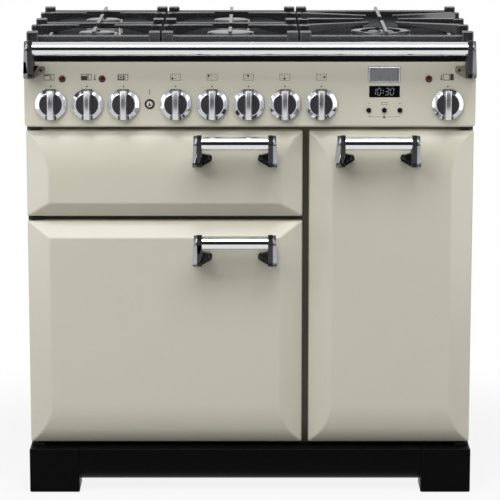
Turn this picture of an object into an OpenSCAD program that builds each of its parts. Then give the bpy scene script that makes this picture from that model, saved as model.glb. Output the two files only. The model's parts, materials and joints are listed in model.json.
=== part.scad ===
// Free-standing range cooker, 90 cm wide: five gas burners, a grill and two ovens.
// Units are millimetres. Z is up from the floor, the front faces -Y, and X runs to the right.
// The origin is on the floor, at the centre of the cooker's width and overall depth.

/* [Body] */
// Width of the cooker, side to side
body_w = 900; // [880:1:1000]
// Depth from the door faces to the wall behind
body_d = 608; // [600:1:660]
// Thickness of the outer sheet steel
sheet_t = 1.5; // [1:0.1:2.5]
// Depth of the front frame's box section
frame_d = 24; // [18:1:32]
// Distance from the wall to the back panel
back_recess = 22; // [20:1:40]
// Diameter of the stability bracket's screw holes
wall_hole_d = 6; // [4:0.5:8]
// Distance between the two stability bracket holes
wall_hole_pitch = 100; // [80:5:160]

/* [Doors] */
// Width of the grill door and of the oven door under it
left_door_w = 556; // [540:1:600]
// Gap between the left doors and the right door
door_side_gap = 13; // [10:1:20]
// Height of the left oven door
oven_door_h = 462.5; // [440:0.5:500]
// Height of the grill door
grill_door_h = 174.5; // [165:0.5:200]
// Gap between the grill door and the oven door
door_mid_gap = 9.5; // [8:0.5:14]
// Thickness of a door without its raised plug
door_t = 46; // [42:1:56]
// How far a door's bevels fall back from its face
bevel_depth = 26; // [15:1:28]
// Width of the bevels down a door's sides
side_bevel = 46; // [30:1:60]
// Height of the flat bevels where the two left doors meet
flat_bevel = 31; // [20:1:40]
// Height of the large rolled edges at the top and bottom
roll_h = 87; // [60:1:100]
// Thickness of a door's enamelled skin
skin_t = 2; // [1.5:0.1:3]
// How far a door's plug stands out towards its oven
plug_depth = 8; // [6:1:12]
// Distance from a door's edge to its plug
plug_inset = 38; // [36:1:50]
// Diameter of the hinge pins
hinge_pin_d = 8; // [6:0.5:9]
// Distance of a hinge pin from the door's side edge
hinge_inset = 10; // [8:0.5:11]

/* [Control panel] */
// Height of the control panel
panel_h = 130.5; // [125:0.5:150]
// Gap between the control panel and the doors
panel_gap = 11.5; // [9:0.5:16]
// Radius of the panel's lower corners
panel_corner_r = 8; // [4:1:14]
// Height of the knobs' centres above the panel's lower edge
knob_up = 46.5; // [42:0.5:55]
// Distance between neighbouring knobs
knob_pitch = 72.5; // [68:0.5:76]
// Distance of the first oven knob from the cooker's left side
oven_knob_inset = 53; // [48:1:58]
// Distance of the single knob from the cooker's right side
single_knob_inset = 56; // [50:1:60]
// Place of the first burner knob, from the centre line
burner_knob_start = -148; // [-152:1:-140]
// Width of the clock's window
clock_w = 61; // [50:1:66]
// Height of the clock's window
clock_h = 23; // [18:1:26]
// Place of the clock's centre, from the cooker's right side
clock_inset = 182; // [175:1:190]
// Height of the clock's centre above the panel's lower edge
clock_up = 71.5; // [68:0.5:76]
// Height of the indicator lamps above the panel's lower edge
lamp_up = 97; // [92:1:104]
// Diameter of an indicator lamp
lamp_d = 13; // [9:0.5:16]

/* [Knobs and buttons] */
// Diameter of a knob
knob_d = 62; // [54:1:66]
// How far a knob stands out from the panel
knob_proud = 31; // [24:1:38]
// Height of a knob's chrome skirt
skirt_h = 10; // [7:0.5:13]
// Width of a knob's grip
grip_w = 13; // [9:0.5:18]
// Diameter of a knob's spindle
spindle_d = 8; // [6:0.5:10]
// Diameter of the ignition button
ignition_d = 16; // [12:0.5:20]
// Place of the ignition button, from the centre line
ignition_x = -200; // [-204:1:-196]
// Diameter of a clock button
clock_button_d = 9.4; // [7:0.2:12]
// Height of the clock buttons above the panel's lower edge
clock_button_up = 34; // [30:1:38]
// How far a button travels when it is pressed
button_travel = 3; // [2:0.5:4]

/* [Handles and rail] */
// Diameter of the handle and rail tubes
tube_d = 27; // [22:1:30]
// Distance of a tube's centre line from the door or panel face
tube_reach = 50; // [44:1:58]
// Overall length of a door handle
handle_l = 168; // [150:1:220]
// Width of a handle's black bracket
bracket_w = 11; // [8:1:15]
// Thickness of the chrome cap on a handle's end
cap_t = 7; // [5:0.5:10]
// How far a handle's feet lie below its tube
foot_drop = 39; // [34:1:44]
// How far the rail's feet lie below its tube
rail_foot_drop = 50; // [46:1:54]
// Height of the rail's centre line above the hob's rim
rail_up = 19.5; // [16:0.5:26]
// Distance of the rail's ends from the cooker's sides
rail_inset = 4; // [0:1:10]
// Distance of the handles of the tall doors below the door's top edge
handle_down = 14; // [12:1:20]
// Distance of the lower oven handle below its door's top edge
oven_handle_down = 31; // [28:1:40]
// Distance of a handle's centre from the door's opening side
handle_inset = 136; // [125:1:150]

/* [Hob] */
// Height of the hob tray's edge
tray_h = 13; // [10:0.5:18]
// Width of the hob tray's raised rim
rim_w = 10; // [8:1:16]
// Depth of the hob tray's floor below its rim
tray_well = 3; // [2:0.5:5]
// Height of the pan supports above the hob's rim
support_h = 43; // [38:1:50]
// Thickness of the pan supports' cast bars
bar_t = 10; // [7:0.5:13]
// Distance from the door faces to the pan supports' front bars
support_front = 53; // [48:1:60]
// Distance from one cross bar of a pan support to the next
bar_pitch = 118; // [112:1:122]
// Gap between neighbouring pan supports
support_gap = 3; // [2:0.5:6]
// Width of the left pan support
left_support_w = 268; // [255:1:280]
// Width of the centre pan support
centre_support_w = 274; // [260:1:285]
// Radius of the small burners
small_burner_r = 36; // [30:1:38]
// Radius of the centre front burner
large_burner_r = 47; // [42:1:50]
// Radius of the wok burner
wok_burner_r = 62; // [56:1:66]
// Free space between the finger tips over a burner
finger_gap = 72; // [62:1:80]
// Height of the vent strip above the hob's rim
vent_h = 26; // [18:1:34]
// Number of slots along the vent strip
vent_slots = 24; // [12:1:30]

/* [Ovens] */
// Inside width of the left oven
left_oven_w = 440; // [400:1:450]
// Inside width of the right oven
right_oven_w = 246; // [220:1:250]
// Inside width of the grill compartment
grill_w = 450; // [420:1:460]
// Inside depth of the ovens
oven_d = 420; // [380:1:425]
// Inside depth of the grill compartment
grill_d = 400; // [360:1:420]
// Height of the oven floors above the doors' lower edge
oven_floor_up = 44; // [42:1:50]
// Distance of the oven roofs below the doors' upper edge
oven_roof_down = 42; // [40:1:46]
// Height of the grill compartment's floor above its door's lower edge
grill_floor_up = 40; // [39:1:44]
// Distance of the grill compartment's roof below its door's upper edge
grill_roof_down = 38; // [37:1:44]
// Thickness of the insulation blankets
blanket_t = 18; // [10:1:20]
// Diameter of the shelf and ladder wires
wire_d = 6; // [5:0.5:7]
// Height between two shelf levels
shelf_pitch = 78; // [70:1:90]
// Diameter of the oven fans
fan_d = 150; // [120:1:160]
// Number of blades on an oven fan
fan_blades = 8; // [6:1:12]
// Depth of the grill pan
pan_h = 26; // [20:1:30]

/* [Plinth, feet and rollers] */
// Height of the plinth
plinth_h = 92; // [86:1:110]
// Gap between the plinth and the doors
plinth_gap = 6.5; // [5:0.5:10]
// How far the plinth stands out past the door faces
plinth_proud = 8; // [0:1:9]
// How much wider the plinth is than the body, in all
plinth_extra_w = 2; // [0:1:8]
// Width of the plinth's two legs
plinth_leg_w = 102; // [80:1:130]
// Height of the arch between the plinth's legs
plinth_arch_h = 21; // [15:1:30]
// Height at which the plinth's front starts to curve under
plinth_curve_h = 62; // [50:1:70]
// Diameter of a levelling foot
foot_d = 42; // [34:1:50]
// Diameter of a levelling foot's threaded rod
foot_rod_d = 12; // [10:1:14]
// Diameter of a rear roller
roller_d = 40; // [32:1:46]
// Width of a rear roller
roller_w = 22; // [16:1:28]

/* [Gas and electric] */
// Diameter of the gas manifold
manifold_d = 20; // [16:1:24]
// Outer diameter of the gas inlet's thread
inlet_d = 20.9; // [18:0.1:26]
// Length of the gas inlet's thread
inlet_l = 19; // [14:1:20]
// Diameter of the feed pipes to the burners
feed_d = 8; // [6:0.5:10]
// Diameter of the cable entry's hole
cable_hole_d = 13; // [9:0.5:15]

/* [Hidden] */
$fn = 48;

eps = 0.1;
seat_gap = 0.3;
joint_gap = 0.05;
half_w = body_w / 2;
wire_fn = 24;
round_fn = 32;

// Depth places, from the front to the wall
collar_wall = 3;
collar_d = tube_d + 2 * collar_wall;
rail_front = tube_reach + collar_d / 2;
face_y = (rail_front - body_d) / 2;
wall_y = face_y + body_d;
seal_space = 5;
door_back_y = face_y + door_t;
frame_y = door_back_y + seal_space;
frame_back_y = frame_y + frame_d;
back_y = wall_y - back_recess;

// Heights, from the floor up
oven_door_z = plinth_h + plinth_gap;
oven_door_top = oven_door_z + oven_door_h;
grill_door_z = oven_door_top + door_mid_gap;
grill_door_top = grill_door_z + grill_door_h;
panel_z = grill_door_top + panel_gap;
panel_top = panel_z + panel_h;
hob_z = panel_top + tray_h;
tray_floor_z = hob_z - tray_well;
tray_sheet = 2;
tray_setback = 6;
tray_hole_lap = 2;
support_top = hob_z + support_h;
frame_lap = 18;
plinth_lap = 12;
floor_gap = 0.5;
knob_z = panel_z + knob_up;

// Door edges across the width
left_door_x = -half_w;
left_door_end = left_door_x + left_door_w;
right_door_x = left_door_end + door_side_gap;
right_door_end = half_w;
left_centre_x = (left_door_x + left_door_end) / 2;
right_centre_x = (right_door_x + right_door_end) / 2;
left_hinge_x = left_door_x + hinge_inset;
right_hinge_x = right_door_end - hinge_inset;
hinge_y = door_back_y - hinge_inset;
hinge_plate_t = 3;
hinge_plate_w = 26;
hinge_pin_l = 12;
pin_clearance = 0.05;
bush_wall = 3;

// Doors: the large rolled edge's radius, the liner and the handles' places
roll_r = (roll_h * roll_h + bevel_depth * bevel_depth) / (2 * bevel_depth);
liner_t = 2;
plug_clear = 5;
right_door_h = grill_door_top - oven_door_z;
left_handle_x = left_door_end - handle_inset;
right_handle_x = right_door_x + handle_inset;
foot_sink = 12;
foot_lobe = 20;
lobe_r = 7;
lobe_d = 14;
bracket_foot_h = 28;
bracket_foot_d = 22;
cap_wall = 2;
cap_foot_h = 24;

// Inside boxes of the three compartments: [x, floor, width, height, depth]
function compartment(centre, w, low, high, d) = [centre - w / 2, low, w, high - low, d];
left_oven = compartment(left_centre_x, left_oven_w, oven_door_z + oven_floor_up,
    oven_door_top - oven_roof_down, oven_d);
right_oven = compartment(right_centre_x, right_oven_w, oven_door_z + oven_floor_up,
    grill_door_top - oven_roof_down, oven_d);
grill_box = compartment(left_centre_x, grill_w, grill_door_z + grill_floor_up,
    grill_door_top - grill_roof_down, grill_d);
cavity_sheet = 1.5;
cavity_flange = 8;
ledge_w = 14;
ledge_up = 46;
pan_rim_z = grill_box[1] + ledge_up;
pan_l = 340;
pan_front = 18;
rung_in = 12;
ladder_l = 330;
ladder_front = 16;
ladder_low = 30;
ladder_end = 20;
shelf_l = 340;
shelf_front = 12;
cross_wire_pitch = 24;
cross_wire_d = wire_d * 0.6;
element_d = 7;
fan_space = 34;
fan_shaft_d = 8;
cover_w = 214;
left_fan_x = left_centre_x;
left_fan_z = left_oven[1] + left_oven[3] / 2;
right_fan_x = right_centre_x;
right_fan_z = right_oven[1] + right_oven[3] / 2;
function ladder_levels(inside) = floor((inside[3] - 2 * ladder_low) / shelf_pitch);

// Knobs, lamps and buttons: places along the panel
oven_knob_x = [for (i = [0:2]) -half_w + oven_knob_inset + i * knob_pitch];
burner_knob_x = [for (i = [0:4]) burner_knob_start + i * knob_pitch];
single_knob_x = half_w - single_knob_inset;
lamp_offset = [23, 30, -38];
lamp_x = [oven_knob_x[0] + lamp_offset[0], oven_knob_x[1] + lamp_offset[1], single_knob_x + lamp_offset[2]];
lamp_proud = 1.6;
lamp_l = 14;
lamp_lip = 2;
lamp_lip_t = 6;
clock_x = half_w - clock_inset;
clock_z = panel_z + clock_up;
clock_button_pitch = clock_w / 2 + 0.5;
glass_proud = 0.6;
clock_case_d = 30;
clock_case_side = 10;
clock_case_over = 4;
clock_button_body = 14;
clock_board_h = 18;
clock_board_t = 6;
clock_board_side = 8;
clock_button_z = panel_z + clock_button_up;
ignition_z = knob_z;
panel_skin = 2;
panel_fold_r = 5;
knob_gap = 0.4;
spindle_hole = 6;
tap_bore_gap = 0.3;
button_gap = 0.3;
button_proud = 3.2;
button_lip = 0.7;
button_lip_t = 2;
ignition_body = 16;
ignition_body_l = 24;
bracket_sheet = 2;
bracket_h = 16;
spindle_l = 40;
control_neck = 28;
control_body = 46;
tap_neck_d = 24;
tap_w = 30;
switch_neck_d = 26;
switch_w = 42;

// Pan supports: left edge and width of each
side_overhang = 2;
left_support_x = -half_w + side_overhang;
centre_support_x = left_support_x + left_support_w + support_gap;
right_support_x = centre_support_x + centre_support_w + support_gap;
right_support_w = half_w - side_overhang - right_support_x;
bar_y = [for (i = [0:4]) face_y + support_front + i * bar_pitch];
left_burner_x = left_support_x + left_support_w / 2;
centre_burner_x = centre_support_x + centre_support_w / 2;
right_burner_x = right_support_x + right_support_w / 2;
burner_rise = 25;
wok_burner_rise = 13;
// Burners: [x, y, radius, height of the crown over the tray]
burners = [
    [left_burner_x, bar_y[1], small_burner_r, burner_rise],
    [left_burner_x, bar_y[3], small_burner_r, burner_rise],
    [centre_burner_x, bar_y[3], small_burner_r, burner_rise],
    [centre_burner_x, bar_y[1], large_burner_r, burner_rise],
    [right_burner_x, bar_y[2], wok_burner_r, wok_burner_rise]
];
burner_drop = 17;
burner_cap_t = 6;
burner_wall = 5;
burner_flange = 5;
burner_flange_t = 3;
flame_slots = 16;
flame_slot_w = 3;
flame_slot_h = 5;
wok_ring_w = 21;
inner_crown_r = small_burner_r - 8;
igniter_out = 6;
igniter_angle = 40;
electrode_d = 7;
sensor_d = 4.5;

// Pan supports: cast sections
side_foot = 21;
side_rail_up = 6;
side_rail_h = 12;
cross_bar_drop = 8;
cross_bar_h = 13;
finger_root_h = 22;
finger_tip_h = 5;
middle_bar_h = 10;
lug_l = 19;
lug_w = 17;
lug_h = 26;
finger_root = 4;

// Vent strip
vent_inset = 20;
vent_clear = 8;
vent_slot_w = 5;
vent_end = 20;
vent_slot_share = 0.72;

// Back panel
wall_hole_down = 40;
louvre_rows = 4;
louvre_columns = 11;
louvre_pitch = 56;
louvre_w = 40;
louvre_h = 5;
louvre_row = 14;
louvre_z = 600;
side_flange = 14;

// Feet and rollers hang from the base
foot_inset = 70;
foot_x = half_w - foot_inset;
foot_back = 45;
foot_y = frame_y + foot_back;
foot_boss_h = 40;
foot_boss_wall = 4;
foot_pad_h = 9;
foot_cone_h = 6;
foot_rod_over = 6;
roller_inset = 90;
roller_x = half_w - roller_inset;
roller_front = 60;
roller_y = back_y - roller_front;
roller_z = roller_d / 2;
roller_side_gap = 1;
axle_d = 8;
axle_end = 4;
fork_t = 3;
fork_half = roller_w / 2 + roller_side_gap;
fork_reach = 14;
fork_foot = 10;

// Gas pipes and the terminal box on the back
tap_back_y = face_y + panel_skin + control_neck + control_body;
manifold_y = tap_back_y + manifold_d / 2;
elbow_wall = 3;
inlet_inset = 60;
inlet_x = -half_w + inlet_inset;
inlet_z = knob_z;
inlet_hole_gap = 1;
inlet_union_wall = 4;
inlet_union_l = 20;
manifold_end = 25;
feed_up = 26;
feed_step = feed_d + 2;
feed_elbow_wall = 1.25;
terminal_inset = 150;
terminal_x = half_w - terminal_inset;
terminal_z = 180;
terminal_w = 90;
terminal_h = 64;
terminal_wall = 2;
terminal_y = (back_y + sheet_t + wall_y - 1) / 2;
cable_boss_l = 16;
cable_boss_wall = 2.5;

// A straight round bar between two points
module rod(from, to, d) {
    along = to - from;
    length = norm(along);
    turn = atan2(along[1], along[0]);
    tilt = acos(along[2] / length);
    translate(from) rotate([0, tilt, turn]) cylinder(d = d, h = length, $fn = wire_fn);
}

// A box given by its two corners
module box(low, high) {
    translate(low) cube(high - low);
}

// Round bars joined end to end, with ball corners
module bent_rod(points, d) {
    for (i = [0:len(points) - 2]) {
        rod(points[i], points[i + 1], d);
        if (i > 0) translate(points[i]) sphere(d = d, $fn = wire_fn);
    }
}

// Pipes joined end to end, with round elbow fittings of their own diameter
module elbow_pipe(points, d, elbow_d) {
    for (i = [0:len(points) - 2]) {
        rod(points[i], points[i + 1], d);
        if (i > 0) translate(points[i]) sphere(d = elbow_d, $fn = wire_fn);
    }
}

// Body

module side_panel(side) {
    outer = side * half_w;
    inner = side * (half_w - sheet_t);
    box([min(outer, inner), frame_y, plinth_h], [max(outer, inner), wall_y, panel_top]);
    edge = side * (half_w - side_flange);
    box([min(outer, edge), wall_y - sheet_t, plinth_h], [max(outer, edge), wall_y, panel_top]);
    box([min(outer, edge), frame_back_y, panel_top - sheet_t], [max(outer, edge), wall_y, panel_top]);
}

module side_panels() {
    color("#33332f") {
        side_panel(-1);
        side_panel(1);
    }
}

module back_panel() {
    edge = half_w - sheet_t;
    low = plinth_h + sheet_t;
    top = panel_top - sheet_t;
    hole_h = sheet_t + 2 * eps;
    color("#9a9c9d") difference() {
        union() {
            box([-edge, back_y, low], [edge, back_y + sheet_t, top]);
            box([-edge, back_y, low], [-edge + sheet_t, wall_y - sheet_t, top]);
            box([edge - sheet_t, back_y, low], [edge, wall_y - sheet_t, top]);
        }
        for (x = [-1, 1]) {
            translate([x * wall_hole_pitch / 2, back_y - eps, panel_top - wall_hole_down])
                rotate([-90, 0, 0]) cylinder(d = wall_hole_d, h = hole_h);
        }
        translate([inlet_x, back_y - eps, inlet_z])
            rotate([-90, 0, 0]) cylinder(d = inlet_d + 2 * inlet_hole_gap, h = hole_h);
        for (row = [0:louvre_rows - 1], column = [0:louvre_columns - 1]) {
            x = (column - (louvre_columns - 1) / 2) * louvre_pitch;
            slot = [x - louvre_w / 2, back_y - eps, louvre_z + row * louvre_row];
            box(slot, slot + [louvre_w, hole_h, louvre_h]);
        }
    }
}

// Base with the bosses of the front feet and the forks of the rear rollers
module base_pan() {
    edge = half_w - sheet_t;
    color("#55565a") difference() {
        union() {
            box([-edge, frame_y, plinth_h], [edge, back_y, plinth_h + sheet_t]);
            for (side = [-1, 1]) {
                translate([side * foot_x, foot_y, plinth_h - foot_boss_h])
                    cylinder(d = foot_rod_d + 2 * foot_boss_wall, h = foot_boss_h);
                for (edge_side = [-1, 1]) {
                    wall = side * roller_x + edge_side * (fork_half + fork_t / 2);
                    box([wall - fork_t / 2, roller_y - fork_reach, roller_z - fork_foot],
                        [wall + fork_t / 2, roller_y + fork_reach, plinth_h]);
                }
            }
        }
        for (side = [-1, 1]) {
            translate([side * foot_x, foot_y, plinth_h - foot_boss_h - eps])
                cylinder(d = foot_rod_d + 2 * pin_clearance, h = foot_boss_h + sheet_t + 2 * eps);
        }
        translate([-half_w, roller_y, roller_z])
            rotate([0, 90, 0]) cylinder(d = axle_d + 2 * pin_clearance, h = body_w);
    }
}

// Outline of a compartment's opening, grown by a margin
module opening(inside, grow, y_low, y_high) {
    box([inside[0] - grow, y_low, inside[1] - grow],
        [inside[0] + inside[2] + grow, y_high, inside[1] + inside[3] + grow]);
}

module front_frame() {
    edge = half_w - sheet_t;
    top = panel_z + frame_lap;
    color("#38352a") difference() {
        box([-edge, frame_y, plinth_h + sheet_t], [edge, frame_back_y, top]);
        for (inside = [left_oven, right_oven, grill_box]) {
            opening(inside, 0, frame_y - eps, frame_back_y + eps);
        }
        difference() {
            box([-edge + sheet_t, frame_y + sheet_t, plinth_h + 2 * sheet_t],
                [edge - sheet_t, frame_back_y + eps, top - sheet_t]);
            for (inside = [left_oven, right_oven, grill_box]) {
                opening(inside, sheet_t, frame_y, frame_back_y + 1);
            }
        }
    }
}

// The plinth's section, curved under at the bottom front; inset gives the hollow inside its sheet
module plinth_section(inset) {
    curve_r = plinth_curve_h - plinth_arch_h;
    back = frame_y + plinth_lap - (face_y - plinth_proud) + inset;
    translate([curve_r, plinth_arch_h - inset]) square([back - curve_r, plinth_h - plinth_arch_h]);
    translate([inset, plinth_curve_h]) square([curve_r, plinth_h - plinth_curve_h - inset]);
    intersection() {
        translate([curve_r, plinth_curve_h]) circle(r = curve_r - inset, $fn = 96);
        square([curve_r, plinth_curve_h]);
    }
}

module plinth() {
    w = body_w + plinth_extra_w;
    front = face_y - plinth_proud;
    back = frame_y + plinth_lap;
    middle = w - 2 * plinth_leg_w;
    color("#161616") {
        translate([-middle / 2, front, 0]) rotate([90, 0, 90]) linear_extrude(middle) difference() {
            plinth_section(0);
            plinth_section(skin_t);
        }
        for (side = [-1, 1]) {
            left = min(side * w / 2, side * middle / 2);
            right = left + plinth_leg_w;
            difference() {
                box([left, front, floor_gap], [right, back, plinth_h]);
                box([left + skin_t, front + skin_t, 0], [right - skin_t, back + eps, plinth_h - skin_t]);
            }
        }
    }
}

// Panel above the doors, a sheet folded back all round
module panel_outline(inset) {
    edge = half_w - inset;
    r = panel_corner_r - inset;
    low = panel_z + inset;
    top = panel_top - inset;
    translate([-edge, low + r]) square([2 * edge, top - low - r]);
    translate([-edge + r, low]) square([2 * (edge - r), r + 1]);
    for (side = [-1, 1]) translate([side * (edge - r), low + r]) circle(r = r);
}

module control_panel() {
    color("#bebbad") difference() {
        intersection() {
            translate([0, frame_y, 0]) rotate([90, 0, 0]) linear_extrude(frame_y - face_y) panel_outline(0);
            union() {
                box([-half_w, face_y, panel_z + panel_fold_r], [half_w, frame_y, panel_top]);
                box([-half_w, face_y + panel_fold_r, panel_z], [half_w, frame_y, panel_z + panel_fold_r + 1]);
                translate([-half_w, face_y + panel_fold_r, panel_z + panel_fold_r])
                    rotate([0, 90, 0]) cylinder(r = panel_fold_r, h = body_w);
            }
        }
        translate([0, frame_y + 1, 0]) rotate([90, 0, 0])
            linear_extrude(frame_y + 1 - face_y - panel_skin) panel_outline(panel_skin);
        for (x = concat(oven_knob_x, burner_knob_x, [single_knob_x])) {
            panel_hole(x, knob_z, spindle_d + 2 * spindle_hole);
        }
        for (x = lamp_x) panel_hole(x, panel_z + lamp_up, lamp_d + 2 * joint_gap);
        panel_hole(ignition_x, ignition_z, ignition_d + 2 * button_gap);
        for (i = [-1:1]) {
            panel_hole(clock_x + i * clock_button_pitch, clock_button_z, clock_button_d + 2 * button_gap);
        }
        box([clock_x - clock_w / 2, face_y - eps, clock_z - clock_h / 2],
            [clock_x + clock_w / 2, face_y + panel_skin + eps, clock_z + clock_h / 2]);
    }
}
module panel_hole(x, z, d) {
    translate([x, face_y - eps, z]) rotate([-90, 0, 0]) cylinder(d = d, h = panel_skin + 2 * eps);
}

module clock_window() {
    half_glass = [clock_w / 2, clock_h / 2];
    half_case = half_glass + [clock_case_side, clock_case_over];
    inside = face_y + panel_skin;
    color("#0b0c10") {
        box([clock_x - half_glass[0], face_y - glass_proud, clock_z - half_glass[1]],
            [clock_x + half_glass[0], inside, clock_z + half_glass[1]]);
        box([clock_x - half_case[0], inside, clock_z - half_case[1]],
            [clock_x + half_case[0], inside + clock_case_d, clock_z + half_case[1]]);
    }
}

module indicator_lamps() {
    color("#5a1512") for (x = lamp_x) {
        translate([x, face_y - lamp_proud, panel_z + lamp_up]) rotate([-90, 0, 0]) {
            cylinder(d = lamp_d, h = lamp_l);
            translate([0, 0, lamp_proud + panel_skin]) cylinder(d = lamp_d + 2 * lamp_lip, h = lamp_lip_t);
        }
    }
}

// Hob

module hob_tray() {
    low = [-half_w + side_overhang, face_y + tray_setback, panel_top];
    high = [half_w - side_overhang, wall_y, hob_z];
    color("#121214") difference() {
        box(low, high);
        box(low + [rim_w, rim_w, tray_h - tray_well], high + [-rim_w, -rim_w, 1]);
        box(low + [sheet_t, sheet_t, -1], high - [sheet_t, sheet_t, tray_well + tray_sheet]);
        for (burner = burners) {
            translate([burner[0], burner[1], panel_top])
                cylinder(r = burner[2] - tray_hole_lap, h = tray_h + 1);
        }
    }
}

// Vent strip along the back of the hob
module rear_vent() {
    half = half_w - vent_inset;
    front = bar_y[4] + bar_t / 2 + vent_clear;
    back = wall_y - rim_w - 1;
    middle = (front + back) / 2;
    slot_pitch = 2 * (half - vent_end) / vent_slots;
    half_slot = slot_pitch * vent_slot_share / 2;
    color("#7d7f80") difference() {
        box([-half, front, tray_floor_z], [half, back, hob_z + vent_h]);
        box([-half + sheet_t, front + sheet_t, tray_floor_z - 1],
            [half - sheet_t, back - sheet_t, hob_z + vent_h - sheet_t]);
        for (i = [0:vent_slots - 1]) {
            x = -half + vent_end + (i + 0.5) * slot_pitch;
            box([x - half_slot, middle - vent_slot_w, hob_z],
                [x + half_slot, middle + vent_slot_w, hob_z + vent_h + 1]);
        }
    }
}

// Height of a burner's cap seat
function cap_z(burner) = tray_floor_z + tray_sheet + burner[3];

// Burner bodies: a cup under the tray, a flange on it and a slotted crown
module burner_body(burner) {
    r = burner[2];
    floor_z = tray_floor_z;
    crown_h = cap_z(burner) - floor_z;
    cup_r = r - tray_hole_lap - 2;
    translate([burner[0], burner[1], 0]) difference() {
        union() {
            translate([0, 0, floor_z - burner_drop]) cylinder(r = cup_r, h = burner_drop + 1);
            translate([0, 0, floor_z]) cylinder(r = r + burner_flange, h = burner_flange_t);
            translate([0, 0, floor_z]) cylinder(r = r, h = crown_h);
        }
        translate([0, 0, floor_z + burner_flange_t + 1]) cylinder(r = r - burner_wall, h = crown_h);
        for (i = [0:flame_slots - 1]) {
            rotate([0, 0, i * 360 / flame_slots])
                translate([r - burner_wall - flame_slot_w, -flame_slot_w / 2, cap_z(burner) - flame_slot_h])
                cube([2 * burner_wall + 2, flame_slot_w, 2 * flame_slot_h]);
        }
    }
}

module burner_bodies() {
    low = tray_floor_z + burner_flange_t + 1;
    crown_h = cap_z(burners[4]) - low;
    color("#a9abad") {
        for (burner = burners) burner_body(burner);
        translate([burners[4][0], burners[4][1], low]) difference() {
            cylinder(r = inner_crown_r, h = crown_h);
            translate([0, 0, 2]) cylinder(r = inner_crown_r - burner_wall, h = crown_h);
        }
    }
}

module burner_caps() {
    color("#141416") {
        for (burner = burners) translate([burner[0], burner[1], cap_z(burner)]) difference() {
            cap(burner[2] + 1, 4);
            if (burner[2] == wok_burner_r) {
                translate([0, 0, -1]) cylinder(r = burner[2] + 1 - wok_ring_w, h = burner_cap_t + 2);
            }
        }
        translate([burners[4][0], burners[4][1], cap_z(burners[4])]) cap(inner_crown_r + 1, 4);
    }
}

// A burner's cap: a disc with its upper edge cut back
module cap(r, edge) {
    edge_h = burner_cap_t / 3;
    cylinder(r = r, h = burner_cap_t - edge_h);
    translate([0, 0, burner_cap_t - edge_h]) cylinder(r1 = r, r2 = r - edge, h = edge_h);
}

// A spark electrode in its ceramic sleeve and a flame sensor beside each burner
module igniters() {
    for (burner = burners) {
        reach = burner[2] + burner_flange + igniter_out;
        for (place = [[igniter_angle, electrode_d, "#f0efe9"], [-igniter_angle, sensor_d, "#8d8f90"]]) {
            color(place[2])
                translate([burner[0] + reach * cos(place[0]), burner[1] + reach * sin(place[0]), tray_floor_z])
                cylinder(d = place[1], h = cap_z(burner) - tray_floor_z);
        }
    }
}

// Cast pan support: side rails, cross bars on lugs, and fingers that point at the burners
module pan_support(x, w, cups) {
    inner = [x + side_foot, x + w - side_foot];
    top = support_top;
    rail_z = hob_z + side_rail_up;
    bar_top = top - cross_bar_drop;
    middle = x + w / 2;
    half_bar = bar_t / 2;
    for (side_x = inner) {
        box([side_x - half_bar, bar_y[0], rail_z], [side_x + half_bar, bar_y[4], rail_z + side_rail_h]);
        for (i = [0, 2, 4]) {
            box([side_x - half_bar, bar_y[i] - half_bar, tray_floor_z + seat_gap],
                [side_x + half_bar, bar_y[i] + half_bar, bar_top]);
        }
    }
    for (i = [0, 2, 4]) {
        box([x + 2, bar_y[i] - half_bar, bar_top - cross_bar_h], [x + w - 2, bar_y[i] + half_bar, bar_top]);
    }
    for (i = [0:4], side = [0, 1]) {
        outer = side == 0 ? x : x + w;
        end = side == 0 ? outer + lug_l : outer - lug_l;
        wide = i % 2 == 0 ? lug_w : lug_w * 0.8;
        box([min(outer, end), bar_y[i] - wide / 2, top - lug_h], [max(outer, end), bar_y[i] + wide / 2, top]);
    }
    for (cup = cups) {
        for (side = [0, 1]) {
            finger(x, w, side, cup, (w - finger_gap) / 2, 0);
            box([inner[side] - half_bar, cup - half_bar, rail_z],
                [inner[side] + half_bar, cup + half_bar, bar_top]);
        }
    }
    half_gap = finger_gap / 2;
    gaps = len(cups) == 2
        ? [[bar_y[0], cups[0] - half_gap], [cups[0] + half_gap, cups[1] - half_gap],
           [cups[1] + half_gap, bar_y[4]]]
        : [[bar_y[0], cups[0] - half_gap], [cups[0] + half_gap, bar_y[4]]];
    for (gap = gaps) {
        box([middle - bar_t * 0.35, gap[0], top - middle_bar_h], [middle + bar_t * 0.35, gap[1], top]);
    }
}

// A finger tapers in width and height from a support's side towards a burner; skew moves its tip along Y
module finger(x, w, side, y, length, skew) {
    start = side == 0 ? x : x + w;
    step = side == 0 ? 1 : -1;
    root = start + step * finger_root;
    tip = start + step * length;
    half_root = bar_t * 0.7;
    half_tip = bar_t * 0.3;
    low = support_top - finger_root_h;
    reach = abs(skew) + 2 * half_root;
    difference() {
        translate([0, 0, low]) linear_extrude(finger_root_h) polygon([
            [root, y - half_root], [tip, y + skew - half_tip], [tip, y + skew + half_tip], [root, y + half_root]
        ]);
        translate([0, y + reach, 0]) rotate([90, 0, 0]) linear_extrude(2 * reach) polygon([
            [root, low - 1], [root, low], [tip, support_top - finger_tip_h],
            [tip + step, support_top - finger_tip_h], [tip + step, low - 1]
        ]);
    }
}

module left_pan_support() {
    color("#1d1d1f") pan_support(left_support_x, left_support_w, [bar_y[1], bar_y[3]]);
}

module centre_pan_support() {
    color("#1d1d1f") pan_support(centre_support_x, centre_support_w, [bar_y[1], bar_y[3]]);
}

module right_pan_support() {
    color("#1d1d1f") wok_support(right_support_x, right_support_w);
}

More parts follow.
